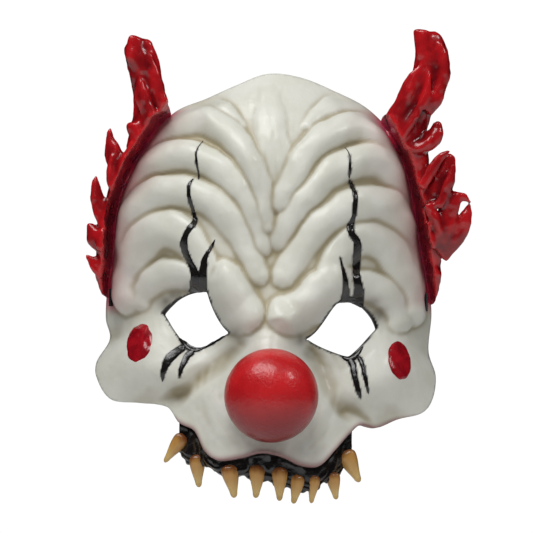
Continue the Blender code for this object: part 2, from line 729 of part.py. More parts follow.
def place_tooth(item, row):
    depth = gum_front(row.across) + TOOTH_SINK
    tip = Vector((row.tip_across * HALF_WIDE, depth, row.tip_up * HALF_HIGH))
    neck = Vector((row.across * HALF_WIDE, depth, row.up * HALF_HIGH))
    item.location = tip
    item.rotation_euler.y = math.atan2(neck.x - tip.x, neck.z - tip.z)


def build_teeth(parts, guides, gum, material):
    for number, row in enumerate(TEETH, start=1):
        name = "tooth_" + str(number)
        mesh = build_tooth_mesh(name, row, 0.0)
        tooth = add_object(name, mesh, parts, material)
        mesh.shade_smooth()
        place_tooth(tooth, row)
        label = "socket_" + str(number)
        socket = add_object(label, build_tooth_mesh(label, row, CLEARANCE), guides)
        place_tooth(socket, row)
        mark_as_guide(socket)
        boolean(gum, socket, "DIFFERENCE")


def build_gum(parts, sleeve, material):
    # A strip that follows the lip's edge, thick enough to hold the teeth
    shape = bmesh.new()
    bmesh.ops.create_grid(shape, x_segments=GUM_STEPS, y_segments=GUM_ROWS, size=1.0)
    first = GUM_EDGE[0].across
    last = GUM_EDGE[-1].across
    for vert in shape.verts:
        across = first + (last - first) * (vert.co.x + 1) / 2
        low = gum_bottom(across)
        high = lip_at(across)[0] + GUM_TUCK
        height = low + (high - low) * (vert.co.y + 1) / 2
        vert.co = (across * HALF_WIDE, gum_front(across), height)
    mesh = mesh_from_bmesh("gum", shape)
    gum = add_object("gum", mesh, parts, material)
    mesh.shade_smooth()
    solid = gum.modifiers.new("flesh", "SOLIDIFY")
    solid.thickness = GUM_THICKNESS
    solid.offset = -1.0
    boolean(gum, sleeve, "DIFFERENCE")
    return gum


def side_wall(places, side, depth, height):
    # How far out the skin reaches beside the head, over the width of the strap
    beside = places[places[:, 0] * side > 0.6 * HALF_WIDE]
    level = np.abs(beside[:, 2] - height) < 0.6 * STRAP_WIDTH
    near = np.abs(beside[:, 1] - depth) < 1.5 * STRAP_THICKNESS
    return side * float(np.max(beside[level & near, 0] * side))


def strap_end(places, side, slot):
    # From the folded stop outside, in through the slot and back along the tab
    stand = STRAP_THICKNESS / 2 + STRAP_PLAY
    stop_y = slot.y - STOP_LENGTH
    front = side_wall(places, side, stop_y, slot.z) + side * stand
    turn = side_wall(places, side, slot.y - 2 * stand, slot.z) + side * stand
    wall = side_wall(places, side, slot.y, slot.z)
    plan = (
        (front, stop_y),
        (turn, slot.y - stand),
        (wall + side * 0.2 * stand, slot.y),
        (wall - side * 0.6 * STRAP_INSET, slot.y),
        (wall - side * 0.9 * STRAP_INSET, slot.y + 0.2 * STRAP_INSET),
        (wall - side * STRAP_INSET, slot.y + 0.6 * STRAP_INSET),
    )
    return [Vector((across, depth, slot.z)) for across, depth in plan]


def strap_path():
    # From the left stop round the back of the head to the right one
    slots = []
    for side in (-1, 1):
        edge = tab_edge(side)
        slots.append(Vector((edge.x, edge.y - SLOT_INSET, edge.z)))
    places = face_samples()
    left = strap_end(places, -1, slots[0])
    right = strap_end(places, 1, slots[1])
    start = left[-1]
    end = right[-1]
    points = left
    for index in range(1, STRAP_STEPS):
        angle = math.pi * index / STRAP_STEPS
        share = 0.5 - 0.5 * math.cos(angle)
        spot = start.lerp(end, share)
        swell = math.sin(angle) ** 0.8
        spot.y += swell * (HEAD_DEPTH - start.y)
        spot.z += STRAP_RISE * math.sin(angle) ** 2
        points.append(spot)
    return points + right[::-1]


def build_elastic_strap(parts, material):
    points = strap_path()
    shape = bmesh.new()
    lower = [shape.verts.new(spot - Vector((0, 0, STRAP_WIDTH / 2))) for spot in points]
    edges = [shape.edges.new(pair) for pair in zip(lower, lower[1:])]
    made = bmesh.ops.extrude_edge_only(shape, edges=edges)
    for item in made["geom"]:
        if isinstance(item, bmesh.types.BMVert):
            item.co.z += STRAP_WIDTH
    bmesh.ops.recalc_face_normals(shape, faces=shape.faces)
    mesh = mesh_from_bmesh("elastic_strap", shape)
    strap = add_object("elastic_strap", mesh, parts, material)
    solid = strap.modifiers.new("band", "SOLIDIFY")
    solid.thickness = STRAP_THICKNESS
    solid.offset = 0.0
    return strap


def main():
    clear_scene()
    parts = new_collection("clown_mask")
    guides = new_collection("cutters_and_guides")
    white = new_material("white_latex", (0.78, 0.77, 0.70), 0.45)
    red = new_material("red_latex", (0.55, 0.01, 0.02), 0.35)
    black = new_material("black_gum", (0.01, 0.01, 0.01), 0.25)
    ochre = new_material("ochre_tooth", (0.68, 0.42, 0.12), 0.35)
    elastic = new_material("black_elastic", (0.015, 0.015, 0.015), 0.85)
    build_face_shell(parts, guides, white)
    build_nose_ball(parts, guides, red)
    blank = build_blank("face_blank", CLEARANCE, guides)
    for side in ("left", "right"):
        build_flames(side, parts, guides, blank, red)
    gum = build_gum(parts, build_sleeve(guides), black)
    build_teeth(parts, guides, gum, ochre)
    build_elastic_strap(parts, elastic)


main()
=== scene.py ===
import math

import bmesh
import bpy
import numpy as np
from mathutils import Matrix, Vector
from mathutils.bvhtree import BVHTree


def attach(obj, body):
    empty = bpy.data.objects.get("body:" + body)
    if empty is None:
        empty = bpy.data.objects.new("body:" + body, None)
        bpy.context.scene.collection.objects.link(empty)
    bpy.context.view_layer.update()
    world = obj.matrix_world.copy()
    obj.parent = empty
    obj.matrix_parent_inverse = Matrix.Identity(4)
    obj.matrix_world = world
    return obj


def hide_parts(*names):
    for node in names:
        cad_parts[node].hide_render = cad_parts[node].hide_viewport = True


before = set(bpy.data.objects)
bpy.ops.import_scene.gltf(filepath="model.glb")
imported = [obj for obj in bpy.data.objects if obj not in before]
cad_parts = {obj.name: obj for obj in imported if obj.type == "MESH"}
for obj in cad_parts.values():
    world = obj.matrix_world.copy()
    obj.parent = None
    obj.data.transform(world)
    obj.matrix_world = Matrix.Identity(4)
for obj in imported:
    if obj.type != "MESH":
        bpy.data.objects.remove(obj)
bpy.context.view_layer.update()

scene = bpy.context.scene


# Small tools that every piece uses

def meshPiece(name, points, faces, materials):
    mesh = bpy.data.meshes.new(name)
    mesh.from_pydata([tuple(point) for point in points], [], faces)
    mesh.validate()
    mesh.update()
    piece = bpy.data.objects.new(name, mesh)
    scene.collection.objects.link(piece)
    for material in materials:
        mesh.materials.append(material)
    mesh.shade_smooth()
    return piece


def gridFaces(rows, columns, closed=False):
    # Quads of a grid that is stored row by row
    last = columns if closed else columns - 1
    faces = []
    for row in range(rows - 1):
        for column in range(last):
            across = (column + 1) % columns
            low = row * columns
            high = low + columns
            faces.append((low + column, low + across, high + across, high + column))
    return faces


def setAttribute(piece, name, values):
    layer = piece.data.attributes.new(name, "FLOAT", "POINT")
    layer.data.foreach_set("value", np.asarray(values, dtype=np.float32))


def finishModifiers(piece):
    # Bake the modifiers into the mesh
    graph = bpy.context.evaluated_depsgraph_get()
    baked = bpy.data.meshes.new_from_object(piece.evaluated_get(graph), depsgraph=graph)
    piece.modifiers.clear()
    old = piece.data
    piece.data = baked
    baked.name = old.name
    bpy.data.meshes.remove(old)
    piece.data.shade_smooth()


def meshPlaces(piece):
    flat = np.empty(len(piece.data.vertices) * 3)
    piece.data.vertices.foreach_get("co", flat)
    return flat.reshape(-1, 3)


def setPlaces(piece, places):
    piece.data.vertices.foreach_set("co", places.ravel())
    piece.data.update()


def meshNormals(piece):
    flat = np.empty(len(piece.data.vertices) * 3)
    piece.data.vertices.foreach_get("normal", flat)
    return flat.reshape(-1, 3)


def neighbourMean(piece, values, rounds):
    # Average over the mesh's edges, which blurs the values a little each round
    ends = np.empty(len(piece.data.edges) * 2, dtype=np.int32)
    piece.data.edges.foreach_get("vertices", ends)
    first, second = ends[0::2], ends[1::2]
    count = np.bincount(ends, minlength=len(values)).astype(float)
    count[count == 0] = 1.0
    for _ in range(rounds):
        total = np.zeros_like(values)
        for axis in range(values.shape[1]):
            total[:, axis] = np.bincount(first, values[second, axis], len(values))
            total[:, axis] += np.bincount(second, values[first, axis], len(values))
        values = 0.5 * values + 0.5 * total / count[:, None]
    return values


def cleanMesh(piece, merge=0.0, recalculate=True, facesFront=False):
    # Merge doubles, turn the faces outwards, and turn an open sheet to the front
    mesh = bmesh.new()
    mesh.from_mesh(piece.data)
    if merge:
        bmesh.ops.remove_doubles(mesh, verts=mesh.verts, dist=merge)
    if recalculate:
        bmesh.ops.recalc_face_normals(mesh, faces=mesh.faces)
    if facesFront and sum(face.normal.y for face in mesh.faces) > 0:
        bmesh.ops.reverse_faces(mesh, faces=mesh.faces)
    mesh.to_mesh(piece.data)
    mesh.free()


def unitRows(vectors):
    return vectors / np.linalg.norm(vectors, axis=1)[:, None]


def evenTurns(count):
    return np.linspace(0.0, 2 * math.pi, count, endpoint=False)


def hollowness(piece, rounds):
    # How deep each point lies in a crease (positive) or stands on a ridge, in metres
    places = meshPlaces(piece)
    blurred = neighbourMean(piece, places, rounds)
    return np.einsum("ij,ij->i", blurred - places, meshNormals(piece))


def latticeNoise(points, size, seed):
    # Smooth noise from -1 to 1 with features about as large as size
    table = np.random.default_rng(seed).uniform(-1.0, 1.0, (24, 24, 24))
    scaled = np.asarray(points) / size + 100.0
    cell = np.floor(scaled).astype(int)
    part = scaled - cell
    part = part * part * (3.0 - 2.0 * part)
    total = 0.0
    for corner in range(8):
        step = np.array([corner & 1, corner >> 1 & 1, corner >> 2 & 1])
        weight = np.where(step == 1, part, 1.0 - part).prod(axis=1)
        spot = (cell + step) % 24
        total = total + weight * table[spot[:, 0], spot[:, 1], spot[:, 2]]
    return total


def smoothStep(value):
    value = np.clip(value, 0.0, 1.0)
    return value * value * (3.0 - 2.0 * value)


def bezier(points, share):
    # Cubic curve through its first and last point, led by the two between
    share = np.asarray(share)[..., None]
    rest = 1.0 - share
    first, lift, lean, last = [np.asarray(point, dtype=float) for point in points]
    near = rest ** 3 * first + 3 * rest ** 2 * share * lift
    return near + 3 * rest * share ** 2 * lean + share ** 3 * last


def throughPoints(points, steps, closed=False):
    # Smooth curve through every point, any number of columns
    points = np.asarray(points, dtype=float)
    count = len(points)
    pieces = []
    for index in range(count if closed else count - 1):
        if closed:
            before, here = points[index - 1], points[index]
            after, beyond = points[(index + 1) % count], points[(index + 2) % count]
        else:
            before, here = points[max(index - 1, 0)], points[index]
            after, beyond = points[index + 1], points[min(index + 2, count - 1)]
        share = np.linspace(0.0, 1.0, steps, endpoint=False)[:, None]
        slopeIn, slopeOut = (after - before) / 2.0, (beyond - here) / 2.0
        bend = 3 * (after - here) - 2 * slopeIn - slopeOut
        twist = slopeIn + slopeOut - 2 * (after - here)
        pieces.append(here + share * (slopeIn + share * (bend + share * twist)))
    pieces.append(points[:1] if closed else points[-1:])
    return np.vstack(pieces)


def newMaterial(name, roughness, coat=0.0):
    material = bpy.data.materials.new(name)
    material.use_nodes = True
    shader = material.node_tree.nodes["Principled BSDF"]
    shader.inputs["Roughness"].default_value = roughness
    shader.inputs["Coat Weight"].default_value = coat
    shader.inputs["Coat Roughness"].default_value = 0.12
    return material, material.node_tree, shader


def addNode(tree, kind, **settings):
    node = tree.nodes.new(kind)
    for name, value in settings.items():
        setattr(node, name, value)
    return node


def addLinked(tree, kind, inputs, **settings):
    # A node whose inputs are linked or set by name; gives its outputs
    node = addNode(tree, kind, **settings)
    for name, value in inputs.items():
        if isinstance(value, bpy.types.NodeSocket):
            tree.links.new(value, node.inputs[name])
        else:
            node.inputs[name].default_value = value
    return node.outputs


def addNoise(tree, scale, detail=4.0, stretch=(1.0, 1.0, 1.0)):
    # Noise on object coordinates, so it sits on the piece from every side
    where = addNode(tree, "ShaderNodeTexCoord").outputs["Object"]
    spot = addLinked(tree, "ShaderNodeMapping", {"Vector": where, "Scale": stretch})["Vector"]
    inputs = {"Vector": spot, "Scale": scale, "Detail": detail}
    return addLinked(tree, "ShaderNodeTexNoise", inputs)["Fac"]


def addRange(tree, source, low, high, bottom=0.0, top=1.0):
    inputs = {"Value": source, "From Min": low, "From Max": high, "To Min": bottom, "To Max": top}
    return addLinked(tree, "ShaderNodeMapRange", inputs, interpolation_type="SMOOTHSTEP")["Result"]


def addAttribute(tree, name):
    node = addNode(tree, "ShaderNodeAttribute", attribute_name=name)
    return node.outputs["Fac"]


def addMix(tree, share, first, second):
    # Colour mix; first and second are colours or sockets
    node = addNode(tree, "ShaderNodeMix", data_type="RGBA")
    slots = [item for item in node.inputs if item.type == "RGBA"]
    for slot, value in zip(slots, (first, second)):
        if isinstance(value, bpy.types.NodeSocket):
            tree.links.new(value, slot)
        else:
            slot.default_value = (*value, 1.0)
    if isinstance(share, bpy.types.NodeSocket):
        tree.links.new(share, node.inputs["Factor"])
    else:
        node.inputs["Factor"].default_value = share
    return [item for item in node.outputs if item.type == "RGBA"][0]


def addMath(tree, operation, first, second=0.0):
    node = addNode(tree, "ShaderNodeMath", operation=operation)
    for slot, value in zip(node.inputs, (first, second)):
        if isinstance(value, bpy.types.NodeSocket):
            tree.links.new(value, slot)
        else:
            slot.default_value = value
    return node.outputs["Value"]


def addBump(tree, shader, height, distance, strength=1.0):
    inputs = {"Strength": strength, "Distance": distance, "Height": height}
    bump = addLinked(tree, "ShaderNodeBump", inputs)["Normal"]
    tree.links.new(bump, shader.inputs["Normal"])


def mottledMaterial(name, roughness, coat, patches, limits, colours, grain):
    # Two colours in patches, over a fine grain: noise scale, detail, distance, strength
    material, tree, shader = newMaterial(name, roughness, coat)
    level = addNoise(tree, *patches)
    if limits:
        level = addRange(tree, level, *limits)
    tree.links.new(addMix(tree, level, *colours), shader.inputs["Base Color"])
    scale, detail, distance, strength = grain
    addBump(tree, shader, addNoise(tree, scale, detail), distance, strength)
    return material


# Camera, floor and lights

studio = {
    "cameraDistance": 2.4,
    "cameraAcross": -0.0008,
    "cameraHeight": 0.0184,
    "viewWidth": 0.2932,        # width of the picture at the middle of the mask
    "floorBelow": 0.32,
    "floorSize": 4.0,
    "floorColor": (0.86, 0.86, 0.86),
    "worldStrength": 0.19,
    "backdropStrength": 1.02,
    # place, power, width, height, seen in reflections
    "lights": {
        "keyLight": ((-0.36, -0.47, 1.38), 13.5, 1.2, 0.6, True),
        "frontLight": ((-0.15, -1.45, 0.85), 6.2, 0.7, 0.7, False),
        "rightLight": ((0.95, -0.46, 1.00), 2.5, 0.3, 0.3, True),
    },
}


def aim(item, target):
    way = Vector(target) - item.location
    item.rotation_euler = way.to_track_quat("-Z", "Y").to_euler()


def makeLight(name, place, power, width, height, reflected):
    data = bpy.data.lights.new(name, "AREA")
    data.shape = "RECTANGLE"
    data.energy = power
    data.size = width
    data.size_y = height
    light = bpy.data.objects.new(name, data)
    light.location = place
    light.visible_glossy = reflected
    scene.collection.objects.link(light)
    aim(light, (0.0, 0.0, 0.0))


def makeStudio():
    data = bpy.data.cameras.new("camera")
    data.sensor_width = 36.0
    data.lens = 36.0 * studio["cameraDistance"] / studio["viewWidth"]
    data.clip_end = 50.0
    camera = bpy.data.objects.new("camera", data)
    camera.location = (studio["cameraAcross"], -studio["cameraDistance"], studio["cameraHeight"])
    camera.rotation_euler = (math.radians(90.0), 0.0, 0.0)
    scene.collection.objects.link(camera)
    scene.camera = camera
    scene.view_settings.view_transform = "Standard"

    floorMaterial, _, shader = newMaterial("paleFloor", 0.9)
    shader.inputs["Base Color"].default_value = (*studio["floorColor"], 1.0)
    half = studio["floorSize"] / 2.0
    low = -studio["floorBelow"]
    corners = [(-half, -half, low), (half, -half, low), (half, half, low), (-half, half, low)]
    meshPiece("floor", corners, [(0, 1, 2, 3)], [floorMaterial])

    world = bpy.data.worlds.new("softRoom")
    scene.world = world
    world.use_nodes = True
    sky = world.node_tree.nodes["Background"]
    sky.inputs["Color"].default_value = (1.0, 1.0, 1.0, 1.0)
    sky.inputs["Strength"].default_value = studio["worldStrength"]
    world.cycles_visibility.glossy = False

    glow = bpy.data.materials.new("whiteBackdrop")
    glow.use_nodes = True
    glow.node_tree.nodes.clear()
    light = glow.node_tree.nodes.new("ShaderNodeEmission")
    light.inputs["Strength"].default_value = studio["backdropStrength"]
    out = glow.node_tree.nodes.new("ShaderNodeOutputMaterial")
    glow.node_tree.links.new(light.outputs["Emission"], out.inputs["Surface"])
    wide, back, top = 0.9, 1.9, 0.9
    corners = [(-wide, back, low), (wide, back, low), (wide, back, top), (-wide, back, top)]
    backdrop = meshPiece("backdrop", corners, [(0, 1, 2, 3)], [glow])
    backdrop.visible_glossy = False
    backdrop.visible_diffuse = False

    for name, row in studio["lights"].items():
        makeLight(name, *row)


makeStudio()
print("studio is set")


# The latex skin: its edge, its swellings and its rolls.
# Lengths in the tables are shares of halfWide and halfHigh

face = {
    "halfWide": 0.089,
    "halfHigh": 0.107,
    "sideDepth": 0.078,
    "wall": 0.0025,
    "centreUp": 0.15,
    "sideRound": 3.1,
    "lipRound": 1.5,
    "foldHeight": 0.0078,
    "bulgeHeight": 0.012,
    "creaseDepth": 0.0035,
    "rollUpper": 0.52,          # the upper side of a roll is steep
    "rollLower": 0.95,          # and the lower side runs out
    "creaseEdge": 1.8,
    "rollBlend": 0.004,         # width of the change from one side to the other
    "rollWobble": 0.13,         # how uneven the rolls are in width
    "rollSwell": 0.16,          # and in height
    "rollEnds": (0.3, 0.45),    # share of a roll over which each end swells
    "rollSlim": 0.35,           # width that is left at its ends
    "rollSteps": 33,
    "rollJoin": 12,             # high for a sharp valley where two rolls meet
    "forward": 0.95,            # how straight forward the rolls rise in the middle
    "forwardRing": (0.90, 0.35),    # share of the way to the edge where that ends, and its fade
    "edgeRing": (0.70, 0.28),   # where the true edge takes over from the softened one
    "edgeFade": 0.12,           # the relief runs out towards the edge
    # height and size of each layer of noise
    "bend": ((0.0013, 0.017), (0.0005, 0.0065)),
    "lumps": ((0.00035, 0.011), (0.00014, 0.0035)),
    "cell": 0.0009,             # mesh of the skin
    # across, up, back (share of sideDepth), clockwise from the crown
    "rim": [
        (0.00, 1.18, 0.54), (0.21, 1.16, 0.55), (0.42, 1.09, 0.58), (0.61, 1.01, 0.61),
        (0.75, 0.90, 0.64), (0.84, 0.77, 0.68), (0.90, 0.61, 0.73), (0.94, 0.44, 0.78),
        (0.98, 0.25, 0.83), (1.02, 0.07, 0.88), (1.04, -0.08, 0.88), (1.015, -0.27, 0.70),
        (1.055, -0.40, 0.54), (1.03, -0.52, 0.40), (0.96, -0.59, 0.32), (0.81, -0.62, 0.25),
        (0.68, -0.66, 0.14), (0.58, -0.64, 0.04), (0.50, -0.69, -0.06), (0.41, -0.77, -0.18),
        (0.32, -0.84, -0.28), (0.21, -0.835, -0.35), (0.09, -0.79, -0.38), (-0.04, -0.77, -0.39),
        (-0.17, -0.795, -0.38), (-0.31, -0.81, -0.32), (-0.39, -0.77, -0.21), (-0.455, -0.67, -0.10),
        (-0.55, -0.63, -0.01), (-0.63, -0.55, 0.10), (-0.80, -0.535, 0.25), (-0.98, -0.52, 0.36),
        (-1.07, -0.42, 0.48), (-1.08, -0.33, 0.58), (-1.00, -0.21, 0.72), (-1.03, -0.10, 0.86),
        (-1.02, 0.07, 0.88), (-0.99, 0.25, 0.83), (-0.97, 0.43, 0.78), (-0.92, 0.60, 0.73),
        (-0.83, 0.75, 0.68), (-0.72, 0.88, 0.64), (-0.57, 0.99, 0.61), (-0.39, 1.05, 0.58),
        (-0.20, 1.12, 0.55),
    ],
    # outer end, two handles, inner end, half width, height, fullness at each end
    "folds": [
        ((-0.45, 1.00), (-0.35, 1.03), (-0.26, 0.99), (-0.17, 0.90), 0.075, 0.60, 0.4, 0.4),
        ((-0.76, 0.74), (-0.67, 1.06), (-0.04, 1.01), (-0.01, 0.37), 0.105, 1.00, 0.6, 0.5),
        ((-0.91, 0.40), (-0.93, 0.83), (-0.20, 0.93), (-0.04, 0.28), 0.105, 1.00, 0.8, 0.5),
        ((-0.96, 0.10), (-0.93, 0.62), (-0.35, 0.80), (-0.07, 0.13), 0.110, 1.00, 0.9, 0.5),
        ((-0.88, 0.02), (-0.87, 0.39), (-0.50, 0.52), (-0.40, 0.13), 0.120, 1.00, 0.9, 0.8),
        ((-0.79, 0.00), (-0.73, 0.16), (-0.48, 0.16), (-0.39, 0.06), 0.095, 0.85, 0.6, 0.6),
        ((-0.29, 0.09), (-0.26, 0.04), (-0.21, -0.02), (-0.18, -0.07), 0.150, 1.25, 0.95, 1.0),
        ((0.61, 0.98), (0.51, 1.05), (0.35, 1.02), (0.26, 0.91), 0.075, 0.60, 0.4, 0.4),
        ((0.87, 0.55), (0.82, 0.99), (0.26, 1.01), (0.10, 0.50), 0.105, 1.00, 0.7, 0.5),
        ((0.92, 0.40), (0.82, 0.86), (0.42, 0.84), (0.06, 0.30), 0.105, 1.00, 0.8, 0.5),
        ((0.98, 0.08), (0.88, 0.62), (0.48, 0.62), (0.09, 0.13), 0.125, 1.00, 0.9, 0.5),
        ((0.90, -0.05), (0.85, 0.34), (0.54, 0.42), (0.40, 0.16), 0.120, 1.00, 0.8, 0.8),
        ((0.48, 0.02), (0.60, 0.11), (0.77, 0.10), (0.82, -0.11), 0.095, 0.85, 0.6, 0.6),
        ((0.42, 0.10), (0.35, 0.03), (0.26, -0.03), (0.15, -0.07), 0.145, 1.25, 0.9, 1.0),
        ((0.00, 1.06), (0.01, 0.88), (0.02, 0.70), (0.03, 0.54), 0.110, 0.25, 0.5, 0.5),
    ],
    "creases": [
        ((-0.17, -0.23), (-0.27, -0.34), (-0.48, -0.40), (-0.63, -0.55), 0.085, 1.15, 0.6, 1.0),
        ((0.26, -0.26), (0.34, -0.37), (0.40, -0.52), (0.58, -0.64), 0.085, 1.15, 0.6, 1.0),
    ],
    # centre, radii, lean in degrees, rise
    "mounds": [
        (-0.22, 0.02, 0.20, 0.26, 25, 0.70),
        (0.24, 0.00, 0.20, 0.26, -25, 0.70),
        (-0.45, -0.11, 0.26, 0.20, -5, -0.75),
        (0.46, -0.15, 0.26, 0.20, 5, -0.75),
        (0.02, 0.42, 0.14, 0.25, 0, -0.35),
        (0.01, -0.31, 0.19, 0.21, 0, 1.00),
        (-0.80, -0.37, 0.23, 0.21, 0, 0.62),
        (0.81, -0.41, 0.23, 0.21, 0, 0.62),
        (-0.58, -0.38, 0.22, 0.14, 25, 0.60),
        (0.60, -0.45, 0.22, 0.16, -30, 0.60),
        (0.00, -0.62, 0.42, 0.26, 0, 0.80),
    ],
    # four sides of each eye hole
    "eyes": [
        [((-0.655, -0.070), (-0.585, 0.000), (-0.470, 0.045), (-0.375, 0.040)),
         ((-0.375, 0.040), (-0.345, -0.060), (-0.300, -0.130), (-0.240, -0.170)),
         ((-0.240, -0.170), (-0.310, -0.200), (-0.370, -0.250), (-0.445, -0.250)),
         ((-0.445, -0.250), (-0.530, -0.250), (-0.585, -0.140), (-0.655, -0.070))],
        [((0.240, -0.200), (0.330, -0.165), (0.375, -0.055), (0.425, -0.020)),
         ((0.425, -0.020), (0.520, 0.015), (0.650, -0.050), (0.680, -0.145)),
         ((0.680, -0.145), (0.620, -0.190), (0.560, -0.260), (0.495, -0.295)),
         ((0.495, -0.295), (0.410, -0.275), (0.300, -0.240), (0.240, -0.200))],
    ],
    # dark airbrush and painted shade at the eye corners, painted shade in creases and on the lip: centre,
    # radius in metres, strength
    "shadeSmudges": [
        (-0.63, -0.03, 0.0050, 0.75), (-0.57, 0.02, 0.0045, 0.65), (-0.50, 0.05, 0.0035, 0.5),
        (0.68, -0.08, 0.0045, 0.7), (0.645, -0.02, 0.0040, 0.6), (-0.20, -0.18, 0.0045, 0.5),
        (0.20, -0.20, 0.0045, 0.55), (-0.23, -0.25, 0.0040, 0.25), (0.25, -0.27, 0.0045, 0.35),
        (-0.57, -0.50, 0.0060, 0.30), (0.50, -0.58, 0.0065, 0.30), (0.02, 0.33, 0.0050, 0.30),
        (-0.25, -0.70, 0.0120, 0.20), (0.00, -0.74, 0.0120, 0.24), (0.22, -0.76, 0.0110, 0.22),
    ],
}

shareSize = np.array([face["halfWide"], face["halfHigh"]])
rimLine = throughPoints(face["rim"], 12, closed=True)
rimAngle = np.arctan2(rimLine[:-1, 1] - face["centreUp"], rimLine[:-1, 0])
rimOrder = np.argsort(rimAngle)
edgeAngles = np.linspace(-math.pi, math.pi, 720, endpoint=False)
edgeRows = rimLine[:-1][rimOrder]
edgeSharp = np.array([np.interp(edgeAngles, rimAngle[rimOrder], edgeRows[:, axis], period=2 * math.pi)
                      for axis in range(3)])
edgeWeights = np.exp(-(np.arange(-40, 41) / 14.0) ** 2)
edgeSoft = sum(weight * np.roll(edgeSharp, shift, axis=1)
               for weight, shift in zip(edgeWeights / edgeWeights.sum(), range(-40, 41)))


def edgeToward(across, up):
    # The edge in the direction of a place, and how near the edge that place is
    # The middle follows a softened edge, so that no ridge runs out from it
    angle = np.arctan2(up - face["centreUp"], across)
    away = np.hypot(across, up - face["centreUp"])
    sharp, soft = [], []
    for rows, found in ((edgeSharp, sharp), (edgeSoft, soft)):
        edge = [np.interp(angle, edgeAngles, row, period=2 * math.pi) for row in rows]
        found += [away / np.hypot(edge[0], edge[1] - face["centreUp"]), edge[2]]
    start, width = face["edgeRing"]
    blend = smoothStep((sharp[0] - start) / width)
    return tuple(inner + (outer - inner) * blend for inner, outer in zip(soft, sharp))


def moundDepth(across, up):
    total = np.zeros_like(across)
    for acrossAt, upAt, wide, high, lean, rise in face["mounds"]:
        turn = math.radians(lean)
        side = (across - acrossAt) * face["halfWide"]
        climb = (up - upAt) * face["halfHigh"]
        along = (side * math.cos(turn) + climb * math.sin(turn)) / (wide * face["halfWide"])
        over = (climb * math.cos(turn) - side * math.sin(turn)) / (high * face["halfHigh"])
        total = total + rise * np.exp(-(along ** 2 + over ** 2))
    return total * face["bulgeHeight"]


def skinBase(across, up):
    ring, back = edgeToward(across, up)
    power = face["lipRound"] + (face["sideRound"] - face["lipRound"]) * smoothStep(back / 0.5)
    depth = back * face["sideDepth"] * ring ** power
    fade = smoothStep((1.0 - ring) / 0.25)
    depth = depth - moundDepth(across, up) * (0.25 + 0.75 * fade)
    return np.stack([across * face["halfWide"], depth, up * face["halfHigh"]], axis=1)


def skinNormal(across, up):
    small = 0.006
    side = skinBase(across + small, up) - skinBase(across - small, up)
    climb = skinBase(across, up + small) - skinBase(across, up - small)
    normal = np.cross(side, climb)
    normal = unitRows(normal)

    # The middle rises straight forward, so that close rolls never cross
    ring, _ = edgeToward(across, up)
    end, fade = face["forwardRing"]
    forward = face["forward"] * smoothStep((end - ring) / fade)[:, None]
    normal = normal * (1.0 - forward) + np.array([0.0, -1.0, 0.0]) * forward
    return unitRows(normal)


def rollHeight(row, across, up, upper, lower):
    # Rounded roll along a curve, 0 outside it and its height on its crest
    start, lift, lean, end, width, height, outer, inner = row
    steps = np.linspace(0.0, 1.0, face["rollSteps"])
    curve = bezier((start, lift, lean, end), steps) * shareSize
    place = np.stack([across, up], axis=1) * shareSize
    low = curve.min(axis=0) - width * face["halfWide"] * 1.3
    high = curve.max(axis=0) + width * face["halfWide"] * 1.3
    near = np.all((place > low) & (place < high), axis=1)
    spots = place[near]
    best = np.zeros(len(spots))
    flat = np.c_[spots, spots[:, 0] * 0]
    wobble = 1.0 + face["rollWobble"] * latticeNoise(flat, 0.012, 5)
    toward = 1.0 if start[0] < end[0] else -1.0
    slim = face["rollSlim"]
    for index in range(len(steps) - 1):
        leg = curve[index + 1] - curve[index]
        reach = spots - curve[index]
        share = np.clip(reach @ leg / (leg @ leg), 0.0, 1.0)
        gap = np.linalg.norm(reach - share[:, None] * leg, axis=1)
        above = toward * (leg[0] * reach[:, 1] - leg[1] * reach[:, 0])
        power = lower + (upper - lower) * smoothStep(0.5 + above / (np.linalg.norm(leg) * face["rollBlend"]))
        along = steps[index] + share * (steps[1] - steps[0])
        swell = outer + (1 - outer) * smoothStep(along / face["rollEnds"][0])
        swell = swell * (inner + (1 - inner) * smoothStep((1 - along) / face["rollEnds"][1]))
        radius = width * face["halfWide"] * (slim + (1 - slim) * swell) * wobble
        roll = np.clip(1.0 - (gap / radius) ** 2, 0.0, None) ** power * swell
        best = np.maximum(best, roll)
    total = np.zeros(len(across))
    total[near] = best * height * (1.0 + face["rollSwell"] * latticeNoise(flat, 0.010, 6))
    return total


wrinkle = {
    "browDepth": 0.00028,
    "browWidth": 0.013,
    # centre (None is the ball's), depth, size, stretch round it, reach, fade and
    # how much the height counts
    "rings": [
        (None, 0.00024, 0.0019, 0.006, 0.050, 0.014, 1.0),
        ((-0.45, -0.11), 0.00022, 0.0017, 0.005, 0.034, 0.012, 1.2),
        ((0.46, -0.15), 0.00022, 0.0017, 0.005, 0.034, 0.012, 1.2),
    ],
}


def wrinkles(place):
    # Fine streaks: down the middle of the brow, and round the ball and under the eyes
    middle = np.exp(-(place[:, 0] / wrinkle["browWidth"]) ** 2)
    middle = middle * smoothStep((place[:, 2] - 0.012) / 0.012)
    total = wrinkle["browDepth"] * middle * latticeNoise(place * (1.0, 1.0, 0.16), 0.0016, 91)
    for number, (centre, depth, size, stretch, reachTo, fadeOver, squash) in enumerate(wrinkle["rings"]):
        across, up = centre or (ball["across"], ball["up"])
        side = place[:, 0] - across * face["halfWide"]
        climb = place[:, 2] - up * face["halfHigh"]
        reach = np.hypot(side, climb * squash)
        turn = np.arctan2(climb, side)
        streaks = latticeNoise(np.c_[reach, turn * stretch, reach * 0], size, 92 + min(number, 1))
        fade = smoothStep((reachTo - reach) / fadeOver)
        if centre:
            fade = fade * smoothStep(0.5 - climb / 0.01)
        total = total + depth * streaks * fade
    return total


def layeredNoise(place, layers, seed):
    return sum(height * latticeNoise(place, size, seed + number)
               for number, (height, size) in enumerate(layers))


